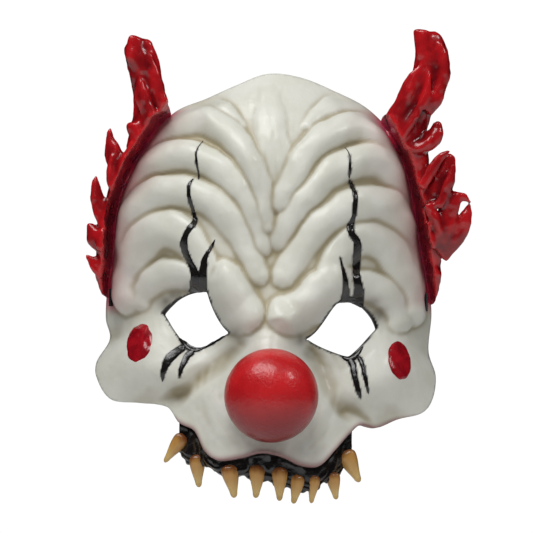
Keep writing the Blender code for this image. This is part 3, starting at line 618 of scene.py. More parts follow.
def skinRelief(across, up):
    ring, _ = edgeToward(across, up)
    place = np.c_[across * face["halfWide"], across * 0, up * face["halfHigh"]]
    bentAcross = across + layeredNoise(place, face["bend"], 7) / face["halfWide"]
    bentUp = up + layeredNoise(place, face["bend"], 9) / face["halfHigh"]
    folds = np.zeros_like(across)
    for row in face["folds"]:
        roll = rollHeight(row, bentAcross, bentUp, face["rollUpper"], face["rollLower"])
        folds = folds + roll ** face["rollJoin"]
    folds = folds ** (1.0 / face["rollJoin"])
    cuts = np.zeros_like(across)
    for row in face["creases"]:
        cuts = np.maximum(cuts, rollHeight(row, across, up, face["creaseEdge"], face["creaseEdge"]))
    lumps = layeredNoise(place, face["lumps"], 11)
    fade = smoothStep((1.0 - ring) / face["edgeFade"])
    return fade * (folds * face["foldHeight"] - cuts * face["creaseDepth"] + lumps + wrinkles(place))


def skinPlace(across, up, lift=0.0):
    across = np.asarray(across, dtype=float)
    up = np.asarray(up, dtype=float)
    raised = skinRelief(across, up) + lift
    return skinBase(across, up) + skinNormal(across, up) * raised[:, None]


def insideLine(line, places):
    # Even-odd test of places against a closed line
    inside = np.zeros(len(places), dtype=bool)
    for first, second in zip(line, np.roll(line, -1, axis=0)):
        crosses = (first[1] > places[:, 1]) != (second[1] > places[:, 1])
        rise = second[1] - first[1]
        rise = rise if abs(rise) > 1e-12 else 1e-12
        edge = first[0] + (places[:, 1] - first[1]) * (second[0] - first[0]) / rise
        inside ^= crosses & (places[:, 0] < edge)
    return inside


def nearestOnLine(line, places):
    best = np.full(len(places), 1e9)
    spot = places.copy()
    for first, second in zip(line, np.roll(line, -1, axis=0)):
        leg = second - first
        share = np.clip((places - first) @ leg / max(leg @ leg, 1e-18), 0.0, 1.0)
        foot = first + share[:, None] * leg
        gap = np.linalg.norm(places - foot, axis=1)
        closer = gap < best
        best = np.where(closer, gap, best)
        spot[closer] = foot[closer]
    return best, spot


def eyeLine(lids):
    steps = np.linspace(0.0, 1.0, 40, endpoint=False)
    return np.vstack([bezier(lid, steps) for lid in lids]) * shareSize


def circleLine(centre, radius, steps=72):
    turn = evenTurns(steps)
    return np.c_[centre[0] + radius * np.cos(turn), centre[1] + radius * np.sin(turn)]


ball = {
    "diameter": 0.051,
    "wall": 0.002,
    "across": 0.02,
    "up": -0.48,
    "stand": 0.012,
    "tuck": 0.004,
    "rings": 120,
    "sides": 180,
    "pitDepth": 0.00006,
}
ballReach = ball["stand"] + face["wall"] + ball["tuck"]
ballDepth = float(skinBase(np.array([ball["across"]]), np.array([ball["up"]]))[0, 1]) - ball["stand"]
ballPlace = np.array([ball["across"] * face["halfWide"], ballDepth, ball["up"] * face["halfHigh"]])
ballBack = math.sqrt((ball["diameter"] / 2) ** 2 - ballReach ** 2)


# Painted lines: thin glossy strokes that lie on the skin

paint = {
    "lift": 0.00022,
    "crown": 0.00025,
    "spacing": 0.0006,
    # across, up, width in millimetres
    "strokes": {
        "leftThin": [(-0.404, 0.825, 0.3), (-0.435, 0.784, 0.8), (-0.447, 0.748, 1.2),
                     (-0.441, 0.696, 1.3), (-0.429, 0.644, 1.1), (-0.429, 0.618, 0.5)],
        "leftLong": [(-0.466, 0.623, 0.7), (-0.488, 0.592, 1.7), (-0.491, 0.545, 2.2),
                     (-0.478, 0.498, 2.2), (-0.460, 0.452, 1.9), (-0.453, 0.405, 3.3),
                     (-0.484, 0.369, 3.3), (-0.509, 0.332, 3.3), (-0.522, 0.291, 4.4),
                     (-0.509, 0.239, 3.9), (-0.484, 0.197, 3.6), (-0.460, 0.156, 4.1),
                     (-0.447, 0.104, 6.0), (-0.445, 0.045, 6.6)],
        "leftBranch": [(-0.326, 0.311, 0.4), (-0.348, 0.275, 1.7), (-0.385, 0.223, 2.8),
                       (-0.396, 0.182, 4.0), (-0.402, 0.125, 4.6), (-0.405, 0.045, 5.6)],
        "rightThin": [(0.478, 0.789, 0.3), (0.503, 0.758, 0.8), (0.509, 0.716, 1.4),
                      (0.509, 0.670, 1.7), (0.503, 0.628, 1.1)],
        "rightLong": [(0.503, 0.623, 1.1), (0.522, 0.587, 2.2), (0.540, 0.540, 2.8),
                      (0.540, 0.488, 2.8), (0.534, 0.441, 2.5), (0.522, 0.405, 3.0),
                      (0.509, 0.374, 3.9), (0.522, 0.337, 3.9), (0.553, 0.296, 4.4),
                      (0.553, 0.234, 5.0), (0.547, 0.166, 4.4), (0.553, 0.104, 4.7),
                      (0.565, 0.042, 5.4), (0.560, -0.022, 6.6)],
        "rightBranch": [(0.444, 0.223, 0.4), (0.460, 0.166, 1.7), (0.478, 0.104, 2.8),
                        (0.480, 0.052, 4.0), (0.478, -0.006, 5.6)],
        "leftPool": [(-0.490, 0.044, 1.6), (-0.450, 0.056, 4.2), (-0.410, 0.058, 4.2),
                     (-0.378, 0.050, 1.4)],
        "rightPool": [(0.436, -0.012, 1.4), (0.490, 0.002, 3.4), (0.540, -0.006, 4.0),
                      (0.590, -0.038, 2.4)],
        "leftLowPool": [(-0.555, -0.196, 1.2), (-0.510, -0.232, 3.2), (-0.465, -0.256, 3.4),
                        (-0.400, -0.248, 1.4), (-0.330, -0.218, 1.3), (-0.265, -0.186, 1.0)],
        "rightLowPool": [(0.455, -0.292, 1.2), (0.500, -0.306, 3.2), (0.545, -0.288, 3.2),
                         (0.590, -0.240, 1.2)],
        "leftTearOuter": [(-0.515, -0.238, 4.2), (-0.565, -0.268, 5.0), (-0.609, -0.301, 5.2),
                          (-0.633, -0.337, 4.1), (-0.649, -0.379, 2.8), (-0.652, -0.421, 0.8)],
        "leftTearInner": [(-0.462, -0.262, 3.4), (-0.500, -0.291, 3.8), (-0.522, -0.327, 3.3),
                          (-0.540, -0.363, 2.5), (-0.547, -0.402, 0.8)],
        "rightTearInner": [(0.505, -0.306, 4.2), (0.526, -0.337, 4.2), (0.534, -0.379, 3.9),
                           (0.547, -0.426, 3.3), (0.559, -0.467, 2.8), (0.574, -0.506, 1.1)],
        "rightTearOuter": [(0.559, -0.291, 2.8), (0.584, -0.332, 3.0), (0.596, -0.374, 2.8),
                           (0.609, -0.426, 2.2), (0.621, -0.483, 0.8)],
    },
}


def strokeSpine(rows):
    # Even points along a stroke in metres, with its width there
    line = throughPoints(rows, 16)
    flat = line[:, :2] * shareSize
    legs = np.linalg.norm(np.diff(flat, axis=0), axis=1)
    way = np.concatenate(([0.0], np.cumsum(legs)))
    count = max(12, int(way[-1] / paint["spacing"]))
    even = np.linspace(0.0, way[-1], count)
    spine = np.c_[np.interp(even, way, flat[:, 0]), np.interp(even, way, flat[:, 1])]
    width = np.interp(even, way, line[:, 2]) / 1000.0
    ends = np.minimum(even, way[-1] - even)
    return spine, width * np.clip(ends / 0.0012, 0.15, 1.0) ** 0.5


def strokeGap(places):
    # How far outside the nearest stroke a place lies, in metres
    gap = np.full(len(places), 1e9)
    for rows in paint["strokes"].values():
        spine, width = strokeSpine(rows)
        near = np.flatnonzero(np.all((places > spine.min(axis=0) - 0.006)
                                     & (places < spine.max(axis=0) + 0.006), axis=1))
        reach = np.linalg.norm(places[near, None, :] - spine[None, ::2, :], axis=2)
        gap[near] = np.minimum(gap[near], (reach - width[None, ::2] / 2).min(axis=1))
    return gap


def skinMaterial():
    material, tree, shader = newMaterial("whiteLatex", 0.42, coat=0.12)
    mottle = addRange(tree, addNoise(tree, 55.0, 5.0), 0.35, 0.68)
    colour = addMix(tree, mottle, (0.70, 0.70, 0.615), (0.76, 0.76, 0.69))
    # Painted shade: the creases darken towards olive brown, an airbrush tint and shade together
    colour = addMix(tree, addAttribute(tree, "creaseShade"), colour, (0.33, 0.27, 0.14))
    colour = addMix(tree, addAttribute(tree, "blush"), colour, (0.60, 0.045, 0.13))
    # Painted shade: dark patches at the eye corners, in creases and on the lip
    colour = addMix(tree, addAttribute(tree, "smudgeShade"), colour, (0.050, 0.040, 0.028))
    colour = addMix(tree, addAttribute(tree, "lipTint"), colour, (0.22, 0.02, 0.035))
    colour = addMix(tree, addAttribute(tree, "ink"), colour, (0.012, 0.011, 0.010))
    tree.links.new(colour, shader.inputs["Base Color"])
    sheen = addRange(tree, addNoise(tree, 90.0, 3.0), 0.3, 0.7, 0.34, 0.52)
    tree.links.new(sheen, shader.inputs["Roughness"])
    pores = addMath(tree, "ADD", addNoise(tree, 420.0, 6.0), addNoise(tree, 150.0, 3.0))
    addBump(tree, shader, pores, 0.00022, 0.55)
    return material


def backMaterial():
    return mottledMaterial("plainLatex", 0.55, 0.0, (45.0, 5.0), (0.35, 0.68),
                           ((0.60, 0.58, 0.48), (0.68, 0.67, 0.58)), (260.0, 5.0, 0.0003, 0.6))


def makeSkin():
    cell = face["cell"]
    outline = rimLine[:-1, :2] * shareSize
    low, high = outline.min(axis=0) - cell, outline.max(axis=0) + cell
    sides, climbs = np.arange(low[0], high[0], cell), np.arange(low[1], high[1], cell)
    side, climb = np.meshgrid(sides, climbs)
    places = np.c_[side.ravel(), climb.ravel()]

    # Points near an outline move onto it, then the faces beyond it go
    holes = [eyeLine(lids) for lids in face["eyes"]]
    holes.append(circleLine(ballPlace[[0, 2]], ballBack + 0.0004))
    step = 0.55 * cell
    gap, foot = nearestOnLine(outline, places)
    gone = ~insideLine(outline, places) & (gap >= step)
    places = np.where((gap < step)[:, None], foot, places)
    inked = np.full(len(places), 1e9)
    for number, hole in enumerate(holes):
        gap, foot = nearestOnLine(hole, places)
        places = np.where((gap < step)[:, None], foot, places)
        gone |= insideLine(hole, places) & (gap >= step)
        if number < 2:
            inked = np.minimum(inked, np.where(gap < step, 0.0, gap))
    corners = np.array(gridFaces(len(climbs), len(sides)))
    lost = gone[corners]
    faces = [tuple(map(int, row)) for row in corners[~lost.any(axis=1)]]
    faces += [tuple(map(int, row[~out])) for row, out in zip(corners, lost) if out.sum() == 1]
    middles = np.array([places[list(row)].mean(axis=0) for row in faces])
    areas = []
    for row in faces:
        ring = places[list(row)]
        areas.append(abs(np.cross(ring, np.roll(ring, -1, axis=0)).sum()) / 2)
    keep = insideLine(outline, middles) & (np.array(areas) > 0.06 * cell ** 2)
    for hole in holes:
        keep &= ~insideLine(hole, middles)
    faces = [row for row, kept in zip(faces, keep) if kept]
    across, up = (places / shareSize).T
    skin = meshPiece("maskSkin", skinPlace(across, up), faces, [skinMaterial(), backMaterial()])

    # Sharp steps are relaxed a little, except at the edges
    ring, _ = edgeToward(across, up)
    border = np.full(len(places), 1e9)
    for hole in holes:
        gap, _ = nearestOnLine(hole, places)
        border = np.minimum(border, gap)
    loosen = smoothStep((border - 0.0008) / 0.0015) * smoothStep((0.99 - ring) / 0.02)
    solid = meshPlaces(skin)
    relaxed = neighbourMean(skin, solid, 2)
    setPlaces(skin, solid + (relaxed - solid) * loosen[:, None])

    flat = np.c_[places, places[:, 0] * 0]
    inked = np.minimum(inked, strokeGap(meshPlaces(skin)[:, [0, 2]]) + 0.0009)
    ragged = 0.0007 + 0.0004 * latticeNoise(flat, 0.0025, 14)
    setAttribute(skin, "ink", smoothStep(1.0 - (inked - ragged) / 0.0005))
    lip = smoothStep((ring - 0.955) / 0.05) ** 2 * smoothStep((-0.58 - up) / 0.05)
    setAttribute(skin, "lipTint", lip * 0.75)
    setAttribute(skin, "blush", blushAmount(across, up))
    # Painted shade, with some dark airbrush at the eye corners
    dark = np.zeros(len(places))
    for acrossAt, upAt, radius, strength in face["shadeSmudges"]:
        reach = np.linalg.norm(places - shareSize * (acrossAt, upAt), axis=1)
        dark = np.maximum(dark, strength * np.exp(-(reach / radius) ** 2))
    setAttribute(skin, "smudgeShade", dark * (0.85 + 0.3 * latticeNoise(flat, 0.003, 15)))
    # Painted shade and airbrush tint in the creases, from how deep each point lies in one
    fine = np.clip(hollowness(skin, 10) / 0.00035, 0.0, 1.0)
    wide = np.clip(hollowness(skin, 130) / 0.0024, 0.0, 1.0)
    setAttribute(skin, "creaseShade", np.clip(0.42 * fine + 0.50 * wide, 0.0, 0.85))

    loose = bmesh.new()
    loose.from_mesh(skin.data)
    stray = [vert for vert in loose.verts if not vert.link_faces]
    bmesh.ops.delete(loose, geom=stray, context="VERTS")
    loose.to_mesh(skin.data)
    loose.free()
    wall = skin.modifiers.new("wall", "SOLIDIFY")
    wall.thickness = face["wall"]
    wall.offset = -1.0
    wall.material_offset = 1
    finishModifiers(skin)
    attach(skin, "root")
    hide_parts("face_shell")
    return skin


hairline = {
    # across and up, from the crown down
    "left": [(-0.60, 0.98), (-0.67, 0.93), (-0.78, 0.77), (-0.86, 0.62), (-0.94, 0.47),
             (-0.955, 0.31), (-0.96, 0.22), (-0.965, 0.11), (-0.97, -0.06)],
    "right": [(0.70, 0.94), (0.77, 0.79), (0.84, 0.73), (0.90, 0.53), (0.91, 0.43),
              (0.93, 0.35), (0.96, 0.21), (0.99, 0.11), (0.99, -0.08)],
    "fade": 0.0065,
    "wobble": 0.0012,
}


def hairGap(across, up):
    # How far outside the hairline a place lies, in metres, inside it is negative
    gap = np.full(len(across), -1.0)
    for side in ("left", "right"):
        line = throughPoints(hairline[side], 8)[::-1]
        sign = -1.0 if side == "left" else 1.0
        edge = np.interp(up, line[:, 1], line[:, 0] * sign)
        here = (across * sign - edge) * face["halfWide"]
        gap = np.where(across * sign > 0, here, gap)
    flat = np.c_[across * face["halfWide"], up * face["halfHigh"], across * 0]
    return gap + hairline["wobble"] * latticeNoise(flat, 0.006, 16)


def blushAmount(across, up):
    # Red mist that fades out from the roots of the flames
    gap = np.clip(-hairGap(across, up), 0.0, None)
    mist = np.exp(-(gap / hairline["fade"]) ** 1.2) * 0.85
    level = smoothStep((1.02 - up) / 0.06) * smoothStep((up + 0.10) / 0.10)
    return mist * level


maskSkin = makeSkin()
skinTree = BVHTree.FromPolygons([tuple(place) for place in meshPlaces(maskSkin)],
                                [tuple(face.vertices) for face in maskSkin.data.polygons])
print("skin is cast")


def onSkin(across, up, lift):
    # Places on the finished skin straight behind front-view places
    spots = skinPlace(across, up)
    for index, (side, climb) in enumerate(np.c_[across, up] * shareSize):
        hit, normal, _, _ = skinTree.ray_cast((side, -0.3, climb), (0.0, 1.0, 0.0))
        if hit is not None and abs(hit.y - spots[index, 1]) < 0.012:
            spots[index] = hit + normal * lift[index]
    return spots


# The ball nose

def ballMaterial():
    material, tree, shader = newMaterial("redBall", 0.30, coat=0.30)
    blotch = addRange(tree, addNoise(tree, 70.0, 4.0), 0.35, 0.7)
    colour = addMix(tree, blotch, (0.52, 0.008, 0.012), (0.64, 0.014, 0.018))
    where = addNode(tree, "ShaderNodeTexCoord")
    split = addNode(tree, "ShaderNodeSeparateXYZ")
    tree.links.new(where.outputs["Object"], split.inputs["Vector"])
    radius = ball["diameter"] / 2
    # Painted shade: darker towards the bottom, as under a light from above
    low = addRange(tree, split.outputs["Z"], ballPlace[2] - radius, ballPlace[2] + 0.3 * radius, 1.0, 0.0)
    bottomShade = addMath(tree, "MULTIPLY", low, 0.8)
    colour = addMix(tree, bottomShade, colour, (0.11, 0.004, 0.007))
    tree.links.new(colour, shader.inputs["Base Color"])
    pits = addMath(tree, "ADD", addNoise(tree, 650.0, 2.0), addNoise(tree, 1300.0, 2.0))
    addBump(tree, shader, pits, 0.00022, 0.7)
    return material


def makeBall():
    radius = ball["diameter"] / 2
    backTurn = math.acos(-ballReach / radius)
    turns = np.linspace(0.0, backTurn, ball["rings"])
    outer = np.c_[radius * np.sin(turns), -radius * np.cos(turns)]
    thin = radius - ball["wall"]
    innerTurn = math.acos(-ballReach / thin)
    turns = np.linspace(innerTurn, 0.0, ball["rings"] // 4)
    inner = np.c_[thin * np.sin(turns), -thin * np.cos(turns)]
    profile = np.vstack([outer, inner])
    profile[0, 0] = 1e-7
    profile[-1, 0] = 1e-7
    around = evenTurns(ball["sides"])
    rings = []
    for size, depth in profile:
        rings.append(np.c_[size * np.cos(around), np.full_like(around, depth), size * np.sin(around)])
    points = np.vstack(rings)
    faces = [tuple(reversed(corners)) for corners in gridFaces(len(profile), ball["sides"], closed=True)]
    piece = meshPiece("noseBall", points + ballPlace, faces, [ballMaterial()])
    cleanMesh(piece, merge=0.000002)
    places = meshPlaces(piece)
    outside = np.linalg.norm(places - ballPlace, axis=1) > radius - 0.0002
    pits = latticeNoise(places, 0.0011, 21) + 0.6 * latticeNoise(places, 0.0022, 22)
    shift = meshNormals(piece) * (pits * ball["pitDepth"] * outside)[:, None]
    setPlaces(piece, places + shift)
    piece.data.shade_smooth()
    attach(piece, "root")
    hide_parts("nose_ball")


makeBall()
print("ball nose is turned")


# The flame tufts: tapered tongues, fused, ridged along their length

flames = {
    "flatness": 0.72,
    "reach": 0.036,
    "voxel": 0.0008,
    "sides": 22,
    "steps": 34,
    # root, two handles, tip, half widths at root, middle and tip, depth near and far
    "left": [
        ((-0.76, 0.76), (-0.70, 1.00), (-0.77, 1.16), (-0.83, 1.36), 0.125, 0.108, 0.080, 0.90, 0.85),
        ((-0.64, 0.93), (-0.66, 1.06), (-0.71, 1.16), (-0.75, 1.29), 0.040, 0.042, 0.018, 0.70, 0.72),
        ((-0.68, 0.90), (-0.75, 0.96), (-0.80, 1.02), (-0.82, 1.12), 0.050, 0.045, 0.020, 0.68, 0.70),
        ((-0.72, 0.94), (-0.74, 1.02), (-0.79, 1.06), (-0.80, 1.16), 0.035, 0.034, 0.014, 0.62, 0.66),
        ((-0.78, 1.18), (-0.82, 1.24), (-0.85, 1.28), (-0.83, 1.38), 0.050, 0.060, 0.050, 0.72, 0.76),
        ((-0.72, 0.76), (-0.77, 0.80), (-0.82, 0.86), (-0.83, 0.93), 0.080, 0.078, 0.050, 0.78, 0.78),
        ((-0.90, 0.64), (-0.95, 0.72), (-0.99, 0.78), (-0.99, 0.90), 0.080, 0.052, 0.012, 0.92, 0.95),
        ((-0.90, 0.60), (-0.90, 0.68), (-0.84, 0.74), (-0.84, 0.83), 0.075, 0.066, 0.040, 0.80, 0.74),
        ((-0.95, 0.56), (-0.98, 0.62), (-0.99, 0.68), (-0.97, 0.76), 0.040, 0.036, 0.015, 0.80, 0.82),
        ((-0.99, 0.38), (-1.06, 0.46), (-1.09, 0.54), (-1.08, 0.655), 0.070, 0.048, 0.010, 0.98, 1.02),
        ((-0.94, 0.62), (-0.94, 0.54), (-0.99, 0.46), (-1.00, 0.37), 0.055, 0.056, 0.050, 0.88, 0.94),
        ((-1.00, 0.27), (-1.06, 0.28), (-1.08, 0.34), (-1.13, 0.40), 0.075, 0.058, 0.020, 1.00, 1.02),
        ((-1.02, 0.36), (-1.02, 0.30), (-1.04, 0.24), (-1.07, 0.30), 0.050, 0.040, 0.020, 0.90, 0.88),
        ((-1.02, 0.14), (-1.06, 0.17), (-1.10, 0.19), (-1.145, 0.24), 0.065, 0.045, 0.010, 1.10, 1.08),
        ((-1.01, 0.32), (-1.04, 0.22), (-1.03, 0.10), (-1.01, 0.00), 0.065, 0.058, 0.018, 1.10, 1.35),
        ((-0.84, 0.74), (-0.92, 0.60), (-0.95, 0.40), (-0.99, 0.18), 0.110, 0.090, 0.060, 0.98, 1.25),
        ((-0.97, 0.44), (-1.00, 0.36), (-1.00, 0.26), (-1.04, 0.16), 0.040, 0.040, 0.018, 0.88, 1.02),
    ],
    "right": [
        ((0.80, 0.79), (0.88, 1.04), (1.11, 1.15), (0.985, 1.40), 0.140, 0.118, 0.072, 0.92, 0.85),
        ((0.75, 0.88), (0.84, 0.97), (0.86, 1.12), (0.985, 1.25), 0.055, 0.050, 0.012, 0.74, 0.70),
        ((0.79, 0.80), (0.86, 0.86), (0.89, 0.95), (0.98, 1.02), 0.040, 0.038, 0.012, 0.68, 0.64),
        ((0.98, 0.98), (1.10, 1.08), (1.13, 1.22), (1.06, 1.35), 0.050, 0.048, 0.028, 0.74, 0.74),
        ((0.92, 0.94), (0.96, 1.04), (1.02, 1.08), (1.00, 1.20), 0.030, 0.028, 0.010, 0.62, 0.66),
        ((1.00, 1.24), (0.97, 1.30), (0.95, 1.34), (0.97, 1.41), 0.050, 0.056, 0.052, 0.76, 0.76),
        ((0.92, 0.80), (1.00, 0.80), (1.07, 0.84), (1.06, 0.93), 0.080, 0.056, 0.030, 0.85, 0.85),
        ((1.02, 0.50), (1.08, 0.60), (1.12, 0.66), (1.15, 0.765), 0.090, 0.070, 0.036, 1.00, 0.95),
        ((0.96, 0.58), (1.02, 0.66), (1.04, 0.74), (1.145, 0.775), 0.035, 0.034, 0.018, 0.78, 0.82),
        ((1.06, 0.48), (1.11, 0.56), (1.14, 0.62), (1.16, 0.72), 0.032, 0.032, 0.012, 0.80, 0.80),
        ((0.88, 0.86), (0.90, 0.74), (0.93, 0.62), (0.97, 0.48), 0.100, 0.088, 0.060, 0.90, 1.00),
        ((0.84, 0.84), (0.90, 0.76), (0.98, 0.78), (1.03, 0.86), 0.045, 0.040, 0.014, 0.72, 0.74),
        ((1.07, 0.24), (1.19, 0.33), (1.25, 0.42), (1.265, 0.505), 0.070, 0.058, 0.012, 1.05, 1.00),
        ((1.16, 0.55), (1.20, 0.54), (1.24, 0.53), (1.275, 0.50), 0.030, 0.024, 0.010, 0.92, 0.94),
        ((1.15, 0.56), (1.15, 0.48), (1.10, 0.40), (1.06, 0.28), 0.070, 0.068, 0.050, 0.95, 0.95),
        ((1.00, 0.50), (1.03, 0.44), (1.06, 0.40), (1.08, 0.34), 0.040, 0.038, 0.016, 0.82, 0.84),
        ((0.96, 0.38), (0.98, 0.35), (1.00, 0.30), (1.01, 0.26), 0.078, 0.086, 0.066, 0.92, 0.98),
        ((1.01, 0.30), (1.06, 0.20), (1.05, 0.10), (1.03, -0.04), 0.070, 0.052, 0.018, 1.10, 1.45),
        ((1.03, 0.16), (1.05, 0.14), (1.07, 0.13), (1.075, 0.11), 0.030, 0.028, 0.016, 1.15, 1.15),
        ((0.93, 0.52), (0.96, 0.40), (0.99, 0.28), (1.01, 0.12), 0.095, 0.088, 0.050, 1.05, 1.35),
    ],
}


def flameMaterial():
    material, tree, shader = newMaterial("redFlame", 0.24, coat=0.45)
    blotch = addRange(tree, addNoise(tree, 75.0, 5.0), 0.36, 0.66)
    colour = addMix(tree, blotch, (0.20, 0.003, 0.006), (0.48, 0.007, 0.011))
    # Painted shade in the crevices and painted highlight on the ridges
    colour = addMix(tree, addAttribute(tree, "creaseShade"), colour, (0.035, 0.0015, 0.004))
    colour = addMix(tree, addAttribute(tree, "ridgeHighlight"), colour, (0.62, 0.012, 0.016))
    colour = addMix(tree, addAttribute(tree, "rootFade"), colour, (0.60, 0.05, 0.13))
    tree.links.new(colour, shader.inputs["Base Color"])
    addBump(tree, shader, addNoise(tree, 200.0, 3.0), 0.0004, 0.5)
    return material


def tonguePoints(row, seed):
    # Rings of a tapered tongue with ridges along it, flattened front to back
    root, lift, lean, tip, thick, middle, thin, near, far = row
    steps = np.linspace(0.0, 1.0, flames["steps"])
    line = bezier((root, lift, lean, tip), steps) * shareSize
    depth = (near + (far - near) * steps) * flames["reach"]
    centre = np.c_[line[:, 0], depth, line[:, 1]]
    early = thick + (middle - thick) * np.minimum(1.0, 2 * steps)
    late = np.maximum(0.0, 2 * steps - 1.0)
    radius = (early + (thin - middle) * late ** 1.5) * face["halfWide"]
    radius = radius * np.sqrt(np.clip(1.0 - ((steps - 0.93) / 0.07).clip(0.0) ** 2, 0.02, 1.0))
    along = np.gradient(centre, axis=0)
    along = unitRows(along)
    backward = np.array([0.0, 1.0, 0.0])
    side = np.cross(along, backward)
    side = unitRows(side)
    turn = evenTurns(flames["sides"])
    rng = np.random.default_rng(seed)
    phase = rng.uniform(0.0, 6.28, 3)
    twist = rng.uniform(-2.5, 2.5)
    rings = []
    for index, step in enumerate(steps):
        waves = np.cos(3 * turn + phase[0] + twist * step)
        waves = waves + 0.5 * np.cos(5 * turn + phase[1] - 1.5 * twist * step)
        bumps = math.cos(8.0 * step + phase[2])
        size = radius[index] * (1.0 + 0.10 * waves + 0.08 * bumps)
        spot = np.outer(size * np.cos(turn), side[index])
        spot = spot + np.outer(size * np.sin(turn) * flames["flatness"], backward)
        rings.append(centre[index] + spot)
    return np.vstack(rings)


def makeFlames(sideName):
    points, faces = [], []
    for number, row in enumerate(flames[sideName]):
        first = sum(len(part) for part in points)
        rings = tonguePoints(row, 40 + number)
        count = flames["sides"]
        for corners in gridFaces(flames["steps"], count, closed=True):
            faces.append(tuple(first + corner for corner in corners))
        faces.append(tuple(first + index for index in range(count))[::-1])
        faces.append(tuple(first + len(rings) - count + index for index in range(count)))
        points.append(rings)
    name = "flames" + sideName.capitalize()
    piece = meshPiece(name, np.vstack(points), faces, [flameMaterial()])
    cleanMesh(piece)
    fuse = piece.modifiers.new("fuse", "REMESH")
    fuse.mode = "VOXEL"
    fuse.voxel_size = flames["voxel"]
    finishModifiers(piece)
    places = neighbourMean(piece, meshPlaces(piece), 9)

    # Inside the hairline the roots lie under the skin, outside it they climb out of it
    across, up = places[:, 0] / face["halfWide"], places[:, 2] / face["halfHigh"]
    ring, _ = edgeToward(across, up)
    pull = np.minimum(1.0, 0.995 / ring)
    gap = hairGap(across, up)
    out = np.clip(gap, 0.0, None) + (ring * (1.0 - pull)) * face["halfWide"]
    surface = skinPlace(across * pull, face["centreUp"] + (up - face["centreUp"]) * pull)[:, 1]
    front = surface + 0.0008 - 0.9 * out - 170.0 * out ** 2
    places[:, 1] = np.maximum(places[:, 1], front)
    setPlaces(piece, places)
    ripple = latticeNoise(places, 0.0065, 31) * 0.0007 + latticeNoise(places, 0.0030, 32) * 0.00025
    setPlaces(piece, places + meshNormals(piece) * ripple[:, None])
    # Painted shade for the crevices and painted highlight for the ridges
    fine = hollowness(piece, 12) / 0.0006
    wide = hollowness(piece, 60) / 0.0022
    setAttribute(piece, "creaseShade", np.clip(0.6 * fine + 0.7 * wide, 0.0, 0.92))
    setAttribute(piece, "ridgeHighlight", np.clip(-0.5 * fine - 0.3 * wide, 0.0, 0.8))
    setAttribute(piece, "rootFade", np.exp(-(out / 0.0042) ** 1.4) * 0.9)
    piece.data.shade_smooth()
    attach(piece, "root")
    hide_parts("hair_flames_" + sideName)


for sideName in ("left", "right"):
    makeFlames(sideName)
print("flames are fused")


# The teeth

teeth = {
    "flatness": 0.8,
    "rootLength": 0.0015,
    "sink": 0.0012,
    "rings": 60,
    "sides": 44,
    # where each leaves the gum, its tip, half width, and how pointed it is
    "rows": [
        (-0.525, -0.705, -0.640, -0.835, 0.048, 0.75),
        (-0.435, -0.805, -0.425, -0.960, 0.050, 0.45),
        (-0.240, -0.850, -0.205, -1.005, 0.054, 0.35),
        (-0.070, -0.850, -0.075, -1.005, 0.047, 0.30),
        (0.070, -0.860, 0.070, -1.020, 0.047, 0.45),
        (0.180, -0.900, 0.155, -1.035, 0.043, 0.35),
        (0.285, -0.905, 0.265, -1.035, 0.038, 0.40),
        (0.400, -0.895, 0.420, -1.020, 0.044, 0.40),
        (0.480, -0.785, 0.565, -0.935, 0.059, 0.60),
    ],
}


# The black gum under the lip

gum = {
    "thickness": 0.0075,
    "tuck": 0.004,
    "columns": 300,
    "around": 64,
    "ridgeDepth": 0.0007,
    "edge": [(-0.55, -0.76), (-0.50, -0.82), (-0.44, -0.81), (-0.33, -0.875), (-0.15, -0.90),
             (0.00, -0.92), (0.12, -0.94), (0.23, -0.97), (0.33, -0.94), (0.43, -0.88), (0.52, -0.80)],
    "webDrop": 0.0026,          # the gum hangs lower where it holds a tooth
}
lowerRim = rimLine[(rimLine[:, 1] < -0.5) & (np.abs(rimLine[:, 0]) < 0.62)]
lowerRim = lowerRim[np.argsort(lowerRim[:, 0])]


def lipAt(across):
    # Height and depth of the lip's lower edge
    height = np.interp(across, lowerRim[:, 0], lowerRim[:, 1]) * face["halfHigh"]
    depth = np.interp(across, lowerRim[:, 0], lowerRim[:, 2]) * face["sideDepth"]
    return height, depth


def gumMaterial():
    return mottledMaterial("blackGum", 0.20, 0.5, (80.0, 3.0), None,
                           ((0.004, 0.004, 0.004), (0.016, 0.013, 0.012)), (230.0, 4.0, 0.0006, 0.8))


